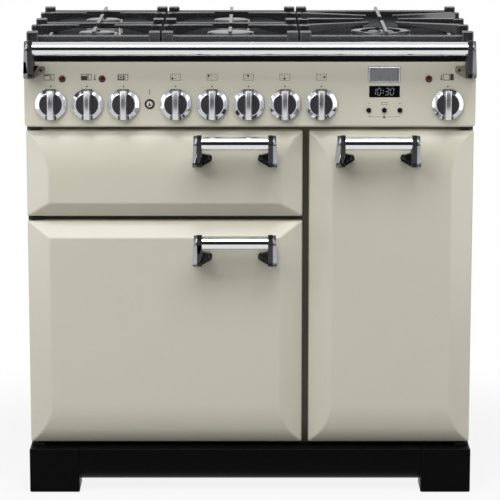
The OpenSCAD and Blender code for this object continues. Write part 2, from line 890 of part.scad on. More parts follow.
// Pan support of the wok burner: its middle bar is open over the burner
module wok_support(x, w) {
    half_gap = finger_gap / 2;
    middle = x + w / 2;
    reach = w / 2 - wok_burner_r * 0.45;
    difference() {
        union() {
            pan_support(x, w, [bar_y[2]]);
            for (i = [1, 3], side = [0, 1]) {
                finger(x, w, side, bar_y[i], reach, (bar_y[2] - bar_y[i]) * 0.45);
            }
        }
        box([middle - half_gap, bar_y[2] - half_gap, tray_floor_z],
            [middle + half_gap, bar_y[2] + half_gap, support_top + 1]);
    }
}

// Handles and rail. A bracket reaches from the tube down to its foot on the panel or door.
// inward is 1 when the tube lies towards +X from this bracket.
// sink is how far its foot runs on past the face, where it is cut to the door's curve.
module bracket(x, z, drop, inward, face, sink) {
    tube_y = face - tube_reach;
    start = inward > 0 ? x : x - bracket_w;
    low = z - drop - bracket_foot_h / 2;
    lobe_x = x + inward * (bracket_w + foot_lobe - lobe_r);
    translate([start, 0, 0]) rotate([90, 0, 90]) linear_extrude(bracket_w) hull() {
        translate([tube_y, z]) circle(d = collar_d, $fn = round_fn);
        translate([face - 3, low]) square([3 + sink, bracket_foot_h]);
        translate([tube_y + 8, z - drop + 4]) circle(r = 6, $fn = round_fn);
    }
    hull() {
        translate([start, face - bracket_foot_d, low + 1])
            cube([bracket_w, bracket_foot_d + sink, bracket_foot_h - 2]);
        translate([lobe_x, face + sink, z - drop + 2])
            rotate([90, 0, 0]) cylinder(r = lobe_r, h = lobe_d + sink, $fn = round_fn);
    }
}

// The chrome cap on a bracket's outer side
module bracket_cap(x, z, drop, inward, face) {
    tube_y = face - tube_reach;
    start = inward > 0 ? x - cap_t : x + joint_gap;
    translate([start, 0, 0]) rotate([90, 0, 90]) linear_extrude(cap_t - joint_gap) hull() {
        translate([tube_y, z]) circle(d = tube_d + 2 * cap_wall, $fn = round_fn);
        translate([face - 6, z - drop - cap_foot_h / 2]) square([4, cap_foot_h]);
        translate([tube_y + 8, z - drop + 5]) circle(r = 5, $fn = round_fn);
    }
}

module bar_handle(centre, z, length, drop, face, sink) {
    left = centre - length / 2 + cap_t;
    right = centre + length / 2 - cap_t;
    bracket(left, z, drop, 1, face, sink);
    bracket(right, z, drop, -1, face, sink);
    bracket_cap(left, z, drop, 1, face);
    bracket_cap(right, z, drop, -1, face);
    translate([left + bracket_w + joint_gap, face - tube_reach, z]) rotate([0, 90, 0])
        cylinder(d = tube_d, h = right - left - 2 * (bracket_w + joint_gap));
}

module front_rail() {
    color("#c9cacc") bar_handle(0, hob_z + rail_up, body_w - 2 * rail_inset, rail_foot_drop, face_y, 0);
}

// Doors. The form is a raised face with bevelled sides.
// A "roll" end curves back in a large radius, and a "flat" end is a plain bevel.
module door_section(h, end_z, style) {
    span = style == "roll" ? roll_h : flat_bevel;
    if (style == "roll") {
        intersection() {
            translate([roll_r, h / 2 + end_z * (h / 2 - span)]) circle(r = roll_r, $fn = 360);
            translate([0, end_z > 0 ? h - span - 1 : 0]) square([door_t, span + 1]);
        }
    } else {
        edge = end_z > 0 ? h : 0;
        start = edge - end_z * span;
        low = start - end_z;
        corners = [[0, low], [door_t, low], [door_t, edge], [bevel_depth, edge], [0, start]];
        polygon([for (i = [0:4]) corners[end_z > 0 ? i : 4 - i]]);
    }
}

module door_form(x0, x1, z0, h, top_style, bottom_style) {
    top_span = top_style == "roll" ? roll_h : flat_bevel;
    low_span = bottom_style == "roll" ? roll_h : flat_bevel;
    intersection() {
        translate([x0, face_y, z0]) rotate([90, 0, 90]) linear_extrude(x1 - x0) {
            door_section(h, 1, top_style);
            door_section(h, -1, bottom_style);
            translate([0, low_span]) square([door_t, h - top_span - low_span]);
        }
        translate([0, 0, z0 - 1]) linear_extrude(h + 2) polygon([
            [x0, face_y + bevel_depth], [x0 + side_bevel, face_y], [x1 - side_bevel, face_y],
            [x1, face_y + bevel_depth], [x1, door_back_y], [x0, door_back_y]
        ]);
    }
}

module door_panel(x0, x1, z0, h, top_style, bottom_style, hinge_x) {
    difference() {
        intersection() {
            door_form(x0, x1, z0, h, top_style, bottom_style);
            box([x0, face_y, z0], [x1, door_back_y - liner_t, z0 + h]);
        }
        translate([0, skin_t, 0])
            door_form(x0 + skin_t, x1 - skin_t, z0 + skin_t, h - 2 * skin_t, top_style, bottom_style);
        translate([hinge_x, hinge_y, z0 - 1]) cylinder(d = hinge_pin_d + 2, h = h + 2);
    }
}

module door_liner(x0, x1, z0, h, hinge_x, inside) {
    plug_low = [max(x0 + plug_inset, inside[0] + plug_clear), door_back_y - eps, inside[1] + plug_clear];
    plug_high = [min(x1 - plug_inset, inside[0] + inside[2] - plug_clear), door_back_y + plug_depth,
        inside[1] + inside[3] - plug_clear];
    bush_d = hinge_pin_d + 2 * bush_wall;
    bush_low = [z0 + skin_t + joint_gap, z0 + h - skin_t - joint_gap - hinge_pin_l];
    liner_y = door_back_y - liner_t;
    difference() {
        union() {
            box([x0, liner_y, z0], [x1, door_back_y, z0 + h]);
            box(plug_low, plug_high);
            for (z = bush_low) {
                translate([hinge_x, hinge_y, z]) cylinder(d = bush_d, h = hinge_pin_l);
                box([hinge_x - bush_wall, hinge_y, z], [hinge_x + bush_wall, liner_y, z + hinge_pin_l]);
            }
        }
        box(plug_low + [liner_t, -liner_t, liner_t], plug_high - [liner_t, liner_t, liner_t]);
        for (z = bush_low) {
            translate([hinge_x, hinge_y, z - skin_t])
                cylinder(d = hinge_pin_d + 2 * pin_clearance, h = hinge_pin_l + 2 * skin_t);
        }
    }
}

module door_handle(centre, z, x0, x1, z0, h, top_style, bottom_style) {
    difference() {
        bar_handle(centre, z, handle_l, foot_drop, face_y, foot_sink);
        door_form(x0, x1, z0, h, top_style, bottom_style);
    }
}

module grill_door_panel() {
    color("#b4b2a1")
        door_panel(left_door_x, left_door_end, grill_door_z, grill_door_h, "roll", "flat", left_hinge_x);
}
module grill_door_liner() {
    color("#2c2c2e")
        door_liner(left_door_x, left_door_end, grill_door_z, grill_door_h, left_hinge_x, grill_box);
}
module grill_door_handle() {
    color("#c9cacc") door_handle(left_handle_x, grill_door_top - handle_down,
        left_door_x, left_door_end, grill_door_z, grill_door_h, "roll", "flat");
}

module left_oven_door_panel() {
    color("#b4b2a1")
        door_panel(left_door_x, left_door_end, oven_door_z, oven_door_h, "flat", "roll", left_hinge_x);
}
module left_oven_door_liner() {
    color("#2c2c2e") door_liner(left_door_x, left_door_end, oven_door_z, oven_door_h, left_hinge_x, left_oven);
}
module left_oven_door_handle() {
    color("#c9cacc") door_handle(left_handle_x, oven_door_top - oven_handle_down,
        left_door_x, left_door_end, oven_door_z, oven_door_h, "flat", "roll");
}

module right_oven_door_panel() {
    color("#b4b2a1")
        door_panel(right_door_x, right_door_end, oven_door_z, right_door_h, "roll", "roll", right_hinge_x);
}
module right_oven_door_liner() {
    color("#2c2c2e")
        door_liner(right_door_x, right_door_end, oven_door_z, right_door_h, right_hinge_x, right_oven);
}
module right_oven_door_handle() {
    color("#c9cacc") door_handle(right_handle_x, grill_door_top - handle_down,
        right_door_x, right_door_end, oven_door_z, right_door_h, "roll", "roll");
}

// Fixed halves of the hinges: plates on the frame, each with a pin that stands in a door's bush
module hinge_brackets() {
    pin_in = hinge_pin_l - 1;
    low_z = plinth_h;
    mid_z = (oven_door_top + grill_door_z - hinge_plate_t) / 2;
    top_z = grill_door_top + (panel_gap - hinge_plate_t) / 2;
    color("#b9bbbd") {
        hinge_plate(left_hinge_x, 1, low_z, oven_door_z + pin_in, 0);
        hinge_plate(left_hinge_x, 1, mid_z, grill_door_z + pin_in, oven_door_top - pin_in);
        hinge_plate(left_hinge_x, 1, top_z, 0, grill_door_top - pin_in);
        hinge_plate(right_hinge_x, -1, low_z, oven_door_z + pin_in, 0);
        hinge_plate(right_hinge_x, -1, top_z, 0, grill_door_top - pin_in);
    }
}

// inward is +1 when the plate reaches towards +X; pin_top and pin_low are heights, or 0 for no pin
module hinge_plate(x, inward, z, pin_top, pin_low) {
    outer = x - inward * (hinge_inset - 2);
    inner = outer + inward * hinge_plate_w;
    box([min(outer, inner), hinge_y - hinge_pin_d, z], [max(outer, inner), frame_y, z + hinge_plate_t]);
    if (pin_top > 0) translate([x, hinge_y, z + 1]) cylinder(d = hinge_pin_d, h = pin_top - z - 1);
    if (pin_low > 0) translate([x, hinge_y, pin_low]) cylinder(d = hinge_pin_d, h = z + 1 - pin_low);
}

// Rope seals round the openings, on the frame's face
module door_seals() {
    seal_w = 7;
    color("#3a3a3c") for (inside = [left_oven, right_oven, grill_box]) {
        difference() {
            opening(inside, seal_w + 2, door_back_y + seat_gap, frame_y);
            opening(inside, 2, door_back_y - 1, frame_y + 1);
        }
    }
}

// Ovens

module cavity(inside, hole_x, hole_z) {
    back = frame_back_y + inside[4];
    difference() {
        union() {
            opening(inside, cavity_sheet, frame_back_y, back + cavity_sheet);
            opening(inside, cavity_flange, frame_back_y, frame_back_y + cavity_sheet);
        }
        opening(inside, 0, frame_back_y - 1, back);
        if (hole_x != 0) {
            translate([hole_x, back - 1, hole_z]) rotate([-90, 0, 0])
                cylinder(d = fan_shaft_d + 4, h = cavity_sheet + 2);
        }
    }
}

module left_oven_cavity() {
    color("#3b3d42") cavity(left_oven, left_fan_x, left_fan_z);
}
module right_oven_cavity() {
    color("#3b3d42") cavity(right_oven, right_fan_x, right_fan_z);
}

// The grill compartment has a ledge down each side that carries the pan's rim
module grill_cavity() {
    color("#3b3d42") {
        cavity(grill_box, 0, 0);
        for (side = [0, 1]) {
            wall = side == 0 ? grill_box[0] : grill_box[0] + grill_box[2];
            inner = side == 0 ? wall + ledge_w : wall - ledge_w;
            box([min(wall, inner), frame_back_y, pan_rim_z - cavity_sheet],
                [max(wall, inner), frame_back_y + grill_d, pan_rim_z]);
        }
    }
}

// Wool blankets wrapped round the compartments
module blanket(inside, low_too) {
    front = frame_back_y + cavity_sheet;
    back = frame_back_y + inside[4];
    difference() {
        opening(inside, cavity_sheet + blanket_t, front, back);
        opening(inside, cavity_sheet, front - 1, back + 1);
        if (!low_too) {
            side = cavity_sheet + blanket_t + 1;
            box([inside[0] - side, front - 1, inside[1] - side],
                [inside[0] + inside[2] + side, back + 1, inside[1]]);
        }
    }
}
module insulation_blankets() {
    color("#c8b98f") {
        blanket(left_oven, true);
        blanket(right_oven, true);
        blanket(grill_box, false);
    }
}

// Grill element under the roof, and a ring element round each fan
module heating_elements() {
    runs = 6;
    roof_gap = 16;
    margin = 60;
    turn = 50;
    z = grill_box[1] + grill_box[3] - roof_gap;
    pitch = (grill_w - 2 * margin) / (runs - 1);
    back = frame_back_y + grill_d;
    front = frame_back_y + margin + 10;
    start = grill_box[0] + margin;
    path = [for (i = [0:runs - 1], end = [0, 1])
        [start + i * pitch, (i + end) % 2 == 0 ? (i == 0 || i == runs - 1 ? back : back - turn) : front, z]];
    color("#54565a") {
        bent_rod(path, element_d);
        ring_element(left_fan_x, left_fan_z);
        ring_element(right_fan_x, right_fan_z);
    }
}
module ring_element(x, z) {
    back = frame_back_y + oven_d;
    y = back - fan_space / 2;
    ring_r = fan_d / 2 + 2 * element_d;
    leg = 12;
    translate([x, y, z]) rotate([90, 0, 0])
        rotate_extrude($fn = 64) translate([ring_r, 0]) circle(d = element_d, $fn = wire_fn);
    for (side = [-1, 1]) rod([x + side * leg, y, z - ring_r], [x + side * leg, back, z - ring_r], element_d);
}

// Each fan sits behind a slotted cover; its motor is bolted outside the oven's back
module fan_housing(x, z) {
    back = frame_back_y + oven_d;
    front = back - fan_space;
    half = cover_w / 2;
    inner = half - sheet_t;
    slot_r = 28;
    slot_l = 34;
    slot_w = 5;
    motor_d = 58;
    motor_l = 46;
    mount_d = 74;
    mount_t = 4;
    difference() {
        box([x - half, front, z - half], [x + half, back, z + half]);
        box([x - inner, front + sheet_t, z - inner], [x + inner, back + 1, z + inner]);
        for (i = [0:11]) {
            translate([x, front - 1, z]) rotate([-90, 0, 0]) rotate([0, 0, i * 30])
                translate([slot_r, -slot_w / 2, 0]) cube([slot_l, slot_w, sheet_t + 2]);
        }
    }
    translate([x, back + cavity_sheet, z]) rotate([-90, 0, 0]) difference() {
        union() {
            cylinder(d = mount_d, h = mount_t);
            cylinder(d = motor_d, h = motor_l);
        }
        translate([0, 0, -1]) cylinder(d = fan_shaft_d + 2 * pin_clearance, h = motor_l - 6);
    }
}
module fan_housings() {
    color("#8f9193") {
        fan_housing(left_fan_x, left_fan_z);
        fan_housing(right_fan_x, right_fan_z);
    }
}
module fan(x, z) {
    back = frame_back_y + oven_d;
    hub_d = 26;
    hub_l = 20;
    disc_t = 1.2;
    blade_t = 1.5;
    blade_in = 10;
    blade_l = fan_d / 2 - blade_in - 2;
    front = -fan_space + 10;
    translate([x, back, z]) rotate([-90, 0, 0]) {
        translate([0, 0, front + 1]) cylinder(d = hub_d, h = hub_l);
        translate([0, 0, -10]) cylinder(d = fan_shaft_d, h = fan_space + 10 + cavity_sheet);
        for (i = [0:fan_blades - 1]) rotate([0, 0, i * 360 / fan_blades]) {
            translate([blade_in, -blade_t / 2, front]) cube([blade_l, blade_t, fan_space - 18]);
        }
        translate([0, 0, -10]) cylinder(d = fan_d - 6, h = disc_t);
    }
}
module left_oven_fan() {
    color("#b4b6b8") fan(left_fan_x, left_fan_z);
}
module right_oven_fan() {
    color("#b4b6b8") fan(right_fan_x, right_fan_z);
}

// Wire ladders on both side walls of the two ovens
module ladder(wall, step, inside) {
    near = frame_back_y + ladder_front + ladder_end;
    far = near + ladder_l - 2 * ladder_end;
    x = wall + step * wire_d / 2;
    rung = wall + step * (rung_in + wire_d / 2);
    low = inside[1] + ladder_low;
    top = low + ladder_levels(inside) * shelf_pitch;
    for (y = [near, far]) rod([x, y, low - ladder_end], [x, y, top], wire_d);
    for (i = [0:ladder_levels(inside) - 1]) {
        z = low + i * shelf_pitch;
        bent_rod([[x, near, z], [rung, near, z], [rung, far, z], [x, far, z]], wire_d);
    }
}
module shelf_ladders() {
    color("#b9bbbd") for (inside = [left_oven, right_oven]) {
        ladder(inside[0], 1, inside);
        ladder(inside[0] + inside[2], -1, inside);
    }
}

// A shelf lies on the ladders' rungs: a wire frame with cross wires
module oven_shelf(inside, level) {
    side = rung_in + wire_d / 2;
    x0 = inside[0] + side;
    x1 = inside[0] + inside[2] - side;
    y0 = frame_back_y + shelf_front;
    y1 = y0 + shelf_l;
    z = inside[1] + ladder_low + level * shelf_pitch + wire_d + seat_gap;
    wires = floor((x1 - x0) / cross_wire_pitch);
    bent_rod([[x0, y0, z], [x1, y0, z], [x1, y1, z], [x0, y1, z], [x0, y0, z]], wire_d);
    translate([x0, y0, z]) sphere(d = wire_d, $fn = wire_fn);
    for (i = [1:wires - 1]) {
        x = x0 + i * (x1 - x0) / wires;
        rod([x, y0, z + 1], [x, y1, z + 1], cross_wire_d);
    }
}
module left_oven_shelf() {
    color("#b9bbbd") oven_shelf(left_oven, 2);
}
module right_oven_shelf() {
    color("#b9bbbd") oven_shelf(right_oven, 3);
}

// Grill pan with its rack: the rim slides on the compartment's ledges
module grill_pan() {
    x0 = grill_box[0] + 5;
    x1 = grill_box[0] + grill_w - 5;
    y0 = frame_back_y + pan_front;
    y1 = y0 + pan_l;
    rim_z = pan_rim_z + seat_gap;
    low = rim_z - pan_h;
    sheet = cavity_sheet;
    wall = ledge_w + 3;
    rim_end = 6;
    lip = 14;
    lip_side = 120;
    color("#232427") {
        difference() {
            union() {
                box([x0, y0, rim_z], [x1, y1, rim_z + sheet]);
                box([x0 + wall, y0 + rim_end, low], [x1 - wall, y1 - rim_end, rim_z + sheet]);
            }
            box([x0 + wall + sheet, y0 + rim_end + sheet, low + sheet],
                [x1 - wall - sheet, y1 - rim_end - sheet, rim_z + 2 * sheet]);
        }
        box([x0 + lip_side, y0 - lip, rim_z + 0.2], [x1 - lip_side, y0 + 0.5, rim_z + sheet]);
    }
    color("#b9bbbd") {
        z = low + 10;
        rack_x0 = x0 + wall + 4;
        rack_x1 = x1 - wall - 4;
        rods = 14;
        rack_end = 20;
        leg_in = 4;
        for (x = [rack_x0, rack_x1]) rod([x, y0 + rack_end - 4, z], [x, y1 - rack_end + 4, z], wire_d * 0.8);
        for (i = [0:rods]) {
            y = y0 + rack_end + i * (pan_l - 2 * rack_end) / rods;
            rod([rack_x0, y, z], [rack_x1, y, z], cross_wire_d);
        }
        for (x = [rack_x0 + leg_in, rack_x1 - leg_in], y = [y0 + rack_end + leg_in, y1 - rack_end - leg_in]) {
            rod([x, y, low + sheet + joint_gap], [x, y, z], wire_d * 0.7);
        }
    }
}

// Controls

// A knob with its chrome skirt, face disc, grip bar and spindle.
// The spindle turns in the tap or switch behind the panel.
module knob(x) {
    base_t = 2;
    rim_h = skirt_h * 0.4;
    slope_h = skirt_h - rim_h;
    slope_w = 7;
    face_in = 1.5;
    grip_h = knob_proud - knob_gap;
    translate([x, face_y - knob_gap, knob_z]) rotate([90, 0, 0]) {
        cylinder(d = knob_d - 3, h = base_t);
        translate([0, 0, base_t]) cylinder(d = knob_d, h = rim_h);
        translate([0, 0, base_t + rim_h]) difference() {
            cylinder(d1 = knob_d, d2 = knob_d - 2 * slope_w, h = slope_h);
            translate([0, 0, slope_h - face_in]) cylinder(d = knob_d - 2 * slope_w - 3, h = face_in + 1);
        }
        intersection() {
            cylinder(d = knob_d - 3, h = grip_h);
            translate([-grip_w / 2, -knob_d / 2, 1]) cube([grip_w, knob_d, grip_h - 1]);
        }
    }
    translate([x, face_y - knob_gap - 1, knob_z]) rotate([-90, 0, 0])
        cylinder(d = spindle_d, h = spindle_l);
}

module grill_knob() {
    color("#8e8f92") knob(oven_knob_x[0]);
}
module oven_function_knob() {
    color("#8e8f92") knob(oven_knob_x[1]);
}
module oven_heat_knob() {
    color("#8e8f92") knob(oven_knob_x[2]);
}
module burner_knob_1() {
    color("#8e8f92") knob(burner_knob_x[0]);
}
module burner_knob_2() {
    color("#8e8f92") knob(burner_knob_x[1]);
}
module burner_knob_3() {
    color("#8e8f92") knob(burner_knob_x[2]);
}
module burner_knob_4() {
    color("#8e8f92") knob(burner_knob_x[3]);
}
module burner_knob_5() {
    color("#8e8f92") knob(burner_knob_x[4]);
}
module right_oven_knob() {
    color("#8e8f92") knob(single_knob_x);
}

// The part that a spindle turns in: a neck against the panel and a body behind it
module spindle_housing(x, neck_d, width) {
    front = face_y + panel_skin;
    half = width / 2;
    difference() {
        union() {
            translate([x, front, knob_z]) rotate([-90, 0, 0]) cylinder(d = neck_d, h = control_neck);
            box([x - half, front + control_neck - 1, knob_z - half],
                [x + half, front + control_neck + control_body, knob_z + half]);
        }
        translate([x, front - 1, knob_z]) rotate([-90, 0, 0])
            cylinder(d = spindle_d + 2 * tap_bore_gap, h = spindle_l + 2);
    }
}
module gas_taps() {
    color("#c2a24c") for (x = burner_knob_x) spindle_housing(x, tap_neck_d, tap_w);
}
module oven_switches() {
    front = face_y + panel_skin;
    half_board = [clock_w / 2 + clock_board_side, clock_board_h / 2];
    board_y = front + clock_button_body;
    ignition_back = front + ignition_body + ignition_body_l;
    color("#d9d7cf") {
        for (x = concat(oven_knob_x, [single_knob_x])) spindle_housing(x, switch_neck_d, switch_w);
        translate([ignition_x, front + ignition_body, ignition_z])
            rotate([-90, 0, 0]) cylinder(d = ignition_d + 2, h = ignition_body_l);
        switch_bracket(ignition_x, ignition_z, ignition_d / 2 + 1, front, ignition_back);
        box([clock_x - half_board[0], board_y, clock_button_z - half_board[1]],
            [clock_x + half_board[0], board_y + clock_board_t, clock_button_z + half_board[1]]);
        switch_bracket(clock_x, clock_button_z, half_board[0], front, board_y + clock_board_t);
    }
}

// Two side plates that hold a switch against the panel
module switch_bracket(x, z, half, front, back) {
    for (side = [-1, 1]) {
        wall = x + side * (half - joint_gap + bracket_sheet / 2);
        box([wall - bracket_sheet / 2, front, z - bracket_h / 2],
            [wall + bracket_sheet / 2, back, z + bracket_h / 2]);
    }
}

module push_button(x, z, d, back) {
    translate([x, face_y - button_proud, z]) rotate([-90, 0, 0])
        cylinder(d = d, h = button_proud + panel_skin + back - button_travel - button_gap);
    translate([x, face_y + panel_skin + button_gap, z])
        rotate([-90, 0, 0]) cylinder(d = d + 2 * button_lip, h = button_lip_t);
}
module ignition_button() {
    color("#2b2b2d") push_button(ignition_x, ignition_z, ignition_d, ignition_body);
}
module clock_button(x) {
    push_button(x, clock_button_z, clock_button_d, clock_button_body);
}
module clock_button_left() {
    color("#19191b") clock_button(clock_x - clock_button_pitch);
}
module clock_button_centre() {
    color("#19191b") clock_button(clock_x);
}
module clock_button_right() {
    color("#19191b") clock_button(clock_x + clock_button_pitch);
}

// Gas: a manifold behind the taps, a supply pipe to the wall and a feed to each burner
module gas_pipes() {
    color("#b8bcc0") {
        elbow_pipe([
            [burner_knob_x[4] + manifold_end, manifold_y, knob_z], [inlet_x, manifold_y, knob_z],
            [inlet_x, back_y - inlet_union_l / 2, inlet_z]
        ], manifold_d, manifold_d + 2 * elbow_wall);
        translate([inlet_x, back_y - inlet_union_l, inlet_z])
            rotate([-90, 0, 0]) cylinder(d = manifold_d + 2 * inlet_union_wall, h = inlet_union_l);
        translate([inlet_x, back_y - 1, inlet_z]) rotate([-90, 0, 0])
            cylinder(d = inlet_d, h = inlet_l + sheet_t + 1, $fn = 96);
        for (i = [0:4]) {
            cup = burners[i];
            feed_z = knob_z + feed_up + i * feed_step;
            start = [burner_knob_x[i], tap_back_y - tap_neck_d / 2, knob_z + tap_w / 2 + joint_gap];
            elbow_pipe([
                start, [start[0], start[1], feed_z], [cup[0], cup[1], feed_z],
                [cup[0], cup[1], tray_floor_z - burner_drop - joint_gap]
            ], feed_d, feed_d + 2 * feed_elbow_wall);
        }
    }
}

module terminal_box() {
    half = terminal_w / 2;
    front = back_y + sheet_t;
    back = wall_y - 1;
    boss_z = terminal_z - cable_boss_l;
    color("#2a2a2c") difference() {
        union() {
            box([terminal_x - half, front, terminal_z], [terminal_x + half, back, terminal_z + terminal_h]);
            translate([terminal_x, terminal_y, boss_z])
                cylinder(d = cable_hole_d + 2 * cable_boss_wall, h = cable_boss_l + 1);
        }
        box([terminal_x - half + terminal_wall, front - 1, terminal_z + terminal_wall],
            [terminal_x + half - terminal_wall, back - terminal_wall, terminal_z + terminal_h - terminal_wall]);
        translate([terminal_x, terminal_y, boss_z - 1])
            cylinder(d = cable_hole_d, h = cable_boss_l + terminal_wall + 2, $fn = 64);
    }
}

// Feet and rollers
module foot(side) {
    disc_h = foot_pad_h - foot_cone_h / 2;
    translate([side * foot_x, foot_y, 0]) {
        cylinder(d = foot_d, h = disc_h);
        translate([0, 0, disc_h]) cylinder(d1 = foot_d, d2 = foot_rod_d + foot_cone_h, h = foot_cone_h);
        cylinder(d = foot_rod_d, h = plinth_h + sheet_t + foot_rod_over);
    }
}
module left_foot() {
    color("#3c3d40") foot(-1);
}
module right_foot() {
    color("#3c3d40") foot(1);
}
module rear_rollers() {
    color("#3c3d40") {
        for (side = [-1, 1]) {
            translate([side * roller_x - roller_w / 2, roller_y, roller_z]) rotate([0, 90, 0])
                cylinder(d = roller_d, h = roller_w, $fn = 96);
        }
        reach = roller_x + fork_half + fork_t + axle_end;
        translate([-reach, roller_y, roller_z]) rotate([0, 90, 0]) cylinder(d = axle_d, h = 2 * reach);
    }
}

side_panels();
back_panel();
base_pan();
front_frame();
control_panel();
plinth();
hob_tray();
rear_vent();
front_rail();
clock_window();
indicator_lamps();
burner_bodies();
burner_caps();
igniters();
grill_cavity();
left_oven_cavity();
right_oven_cavity();
insulation_blankets();
heating_elements();
shelf_ladders();
fan_housings();
gas_pipes();
gas_taps();
oven_switches();
terminal_box();
door_seals();
hinge_brackets();
grill_door_panel();
grill_door_liner();
grill_door_handle();
left_oven_door_panel();
left_oven_door_liner();
left_oven_door_handle();
right_oven_door_panel();
right_oven_door_liner();
right_oven_door_handle();
grill_pan();
left_oven_shelf();
right_oven_shelf();
left_oven_fan();
right_oven_fan();
grill_knob();
oven_function_knob();
oven_heat_knob();
burner_knob_1();
burner_knob_2();
burner_knob_3();
burner_knob_4();
burner_knob_5();
right_oven_knob();
ignition_button();
clock_button_left();
clock_button_centre();
clock_button_right();
left_pan_support();
centre_pan_support();
right_pan_support();
left_foot();
right_foot();
rear_rollers();
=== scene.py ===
# %% [markdown]
# # A range cooker, dressed for the studio
# The frame already holds the cooker as exact solids: doors, panel, hob, handles and everything
# behind them. This lesson keeps every size and gives the solids what they lack: soft pressed
# edges, cast iron, polished chrome, glossy enamel and the small marks on the panel. All the
# modelling below is written in millimetres, and the last step of each piece turns it to metres.

# %% Load the frame
import json
import math

import bmesh
import bpy
from mathutils import Matrix, Vector


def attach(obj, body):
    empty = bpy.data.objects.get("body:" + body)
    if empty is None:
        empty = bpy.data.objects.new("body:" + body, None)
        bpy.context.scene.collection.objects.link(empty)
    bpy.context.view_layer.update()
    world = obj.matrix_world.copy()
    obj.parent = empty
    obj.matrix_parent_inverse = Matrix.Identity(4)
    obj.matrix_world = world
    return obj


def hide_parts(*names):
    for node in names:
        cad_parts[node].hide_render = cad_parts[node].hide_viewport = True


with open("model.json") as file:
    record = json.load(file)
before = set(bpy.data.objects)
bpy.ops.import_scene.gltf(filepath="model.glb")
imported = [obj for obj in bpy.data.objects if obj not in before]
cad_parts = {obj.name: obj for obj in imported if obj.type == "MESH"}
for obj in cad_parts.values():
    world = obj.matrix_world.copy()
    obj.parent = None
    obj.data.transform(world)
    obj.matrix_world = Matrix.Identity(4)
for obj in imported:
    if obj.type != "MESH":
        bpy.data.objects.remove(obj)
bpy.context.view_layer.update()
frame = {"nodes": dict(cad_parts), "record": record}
cad_nodes = frame["nodes"]
print("solids in the frame:", len(cad_nodes))

# %% [markdown]
# ## The camera
# The photograph is a level catalogue picture: the cooker's left and right edges run straight up
# and its hob narrows a little towards the back. A long lens from five metres away, a little above
# the hob and looking slightly down, gives both. The angle and lens were worked out from the
# knobs', handles' and plinth's places in the picture.

# %% Camera
camera_data = bpy.data.cameras.new("camera")
camera_data.sensor_width = 36.0
camera_data.lens = 182.1
camera_data.shift_y = -0.05
camera = bpy.data.objects.new("camera", camera_data)
camera.location = (0.0, -5.27, 1.52)
camera.rotation_euler = (math.radians(90.0 - 10.9), 0.0, 0.0)
bpy.context.scene.collection.objects.link(camera)
bpy.context.scene.camera = camera
bpy.context.scene.view_settings.view_transform = "Standard"
print("camera at", tuple(camera.location), "lens", camera_data.lens)

# %% [markdown]
# ## Two helpers for materials
# Hex values are how a paint is written down, but Blender mixes light in linear numbers, so one
# function turns the one into the other. A second one adds a node with its settings, the values
# of its sockets and its links, which keeps each material readable as a short recipe.

# %% Colour and node helpers
def hex_colour(code):
    """Turns an sRGB hex value into the linear colour that the shaders work in."""
    channels = [int(code[i:i + 2], 16) / 255 for i in (1, 3, 5)]
    linear = [c / 12.92 if c <= 0.04045 else ((c + 0.055) / 1.055) ** 2.4 for c in channels]
    return (*linear, 1.0)


def add_node(tree, kind, values=None, links=None, **settings):
    """Adds one node with its settings, the values of its sockets and the outputs linked to them."""
    made = tree.nodes.new(kind)
    for name, value in settings.items():
        setattr(made, name, value)
    for socket, value in (values or {}).items():
        made.inputs[socket].default_value = value
    for socket, output in (links or {}).items():
        tree.links.new(output, made.inputs[socket])
    return made


print("stone enamel in linear light:", [round(c, 3) for c in hex_colour("#b9b6a6")])

# %% [markdown]
# ## Studio light
# Chrome shows the room, so the room matters: white walls, a softly lit ceiling, and one dark
# opening in front, where a photographer stands. That opening draws the black line along each
# handle. A white room would also flood the enamel with light from all sides and flatten it, so
# the Light Path node gives the walls' white to the camera and to reflections only, and a dimmer
# light, stronger from the left, to dull surfaces. Four large lamps then shape the doors.

# %% The room
world = bpy.data.worlds.new("studio room")
bpy.context.scene.world = world
world.use_nodes = True
room = world.node_tree
way = add_node(room, "ShaderNodeTexCoord").outputs["Generated"]
split = add_node(room, "ShaderNodeSeparateXYZ", links={"Vector": way})


def room_ramp(axis, low, high, values, links=None):
    """Changes a level smoothly between two heights of a direction along one axis."""
    ramp = add_node(room, "ShaderNodeMapRange", {"From Min": low, "From Max": high, **values},
                    {"Value": split.outputs[axis], **(links or {})}, interpolation_type="SMOOTHSTEP")
    return ramp.outputs["Result"]


def seen_rays(tree):
    """Gives 1 for rays from the camera, from reflections and through glass, and 0 for dull light."""
    path = add_node(tree, "ShaderNodeLightPath").outputs
    seen = add_node(tree, "ShaderNodeMath", links={0: path["Is Camera Ray"], 1: path["Is Glossy Ray"]},
                    operation="MAXIMUM").outputs[0]
    return add_node(tree, "ShaderNodeMath", links={0: seen, 1: path["Is Transmission Ray"]},
                    operation="MAXIMUM").outputs[0]


ceiling = room_ramp("Z", 0.6, 0.9, {"To Min": 1.0, "To Max": 0.9})
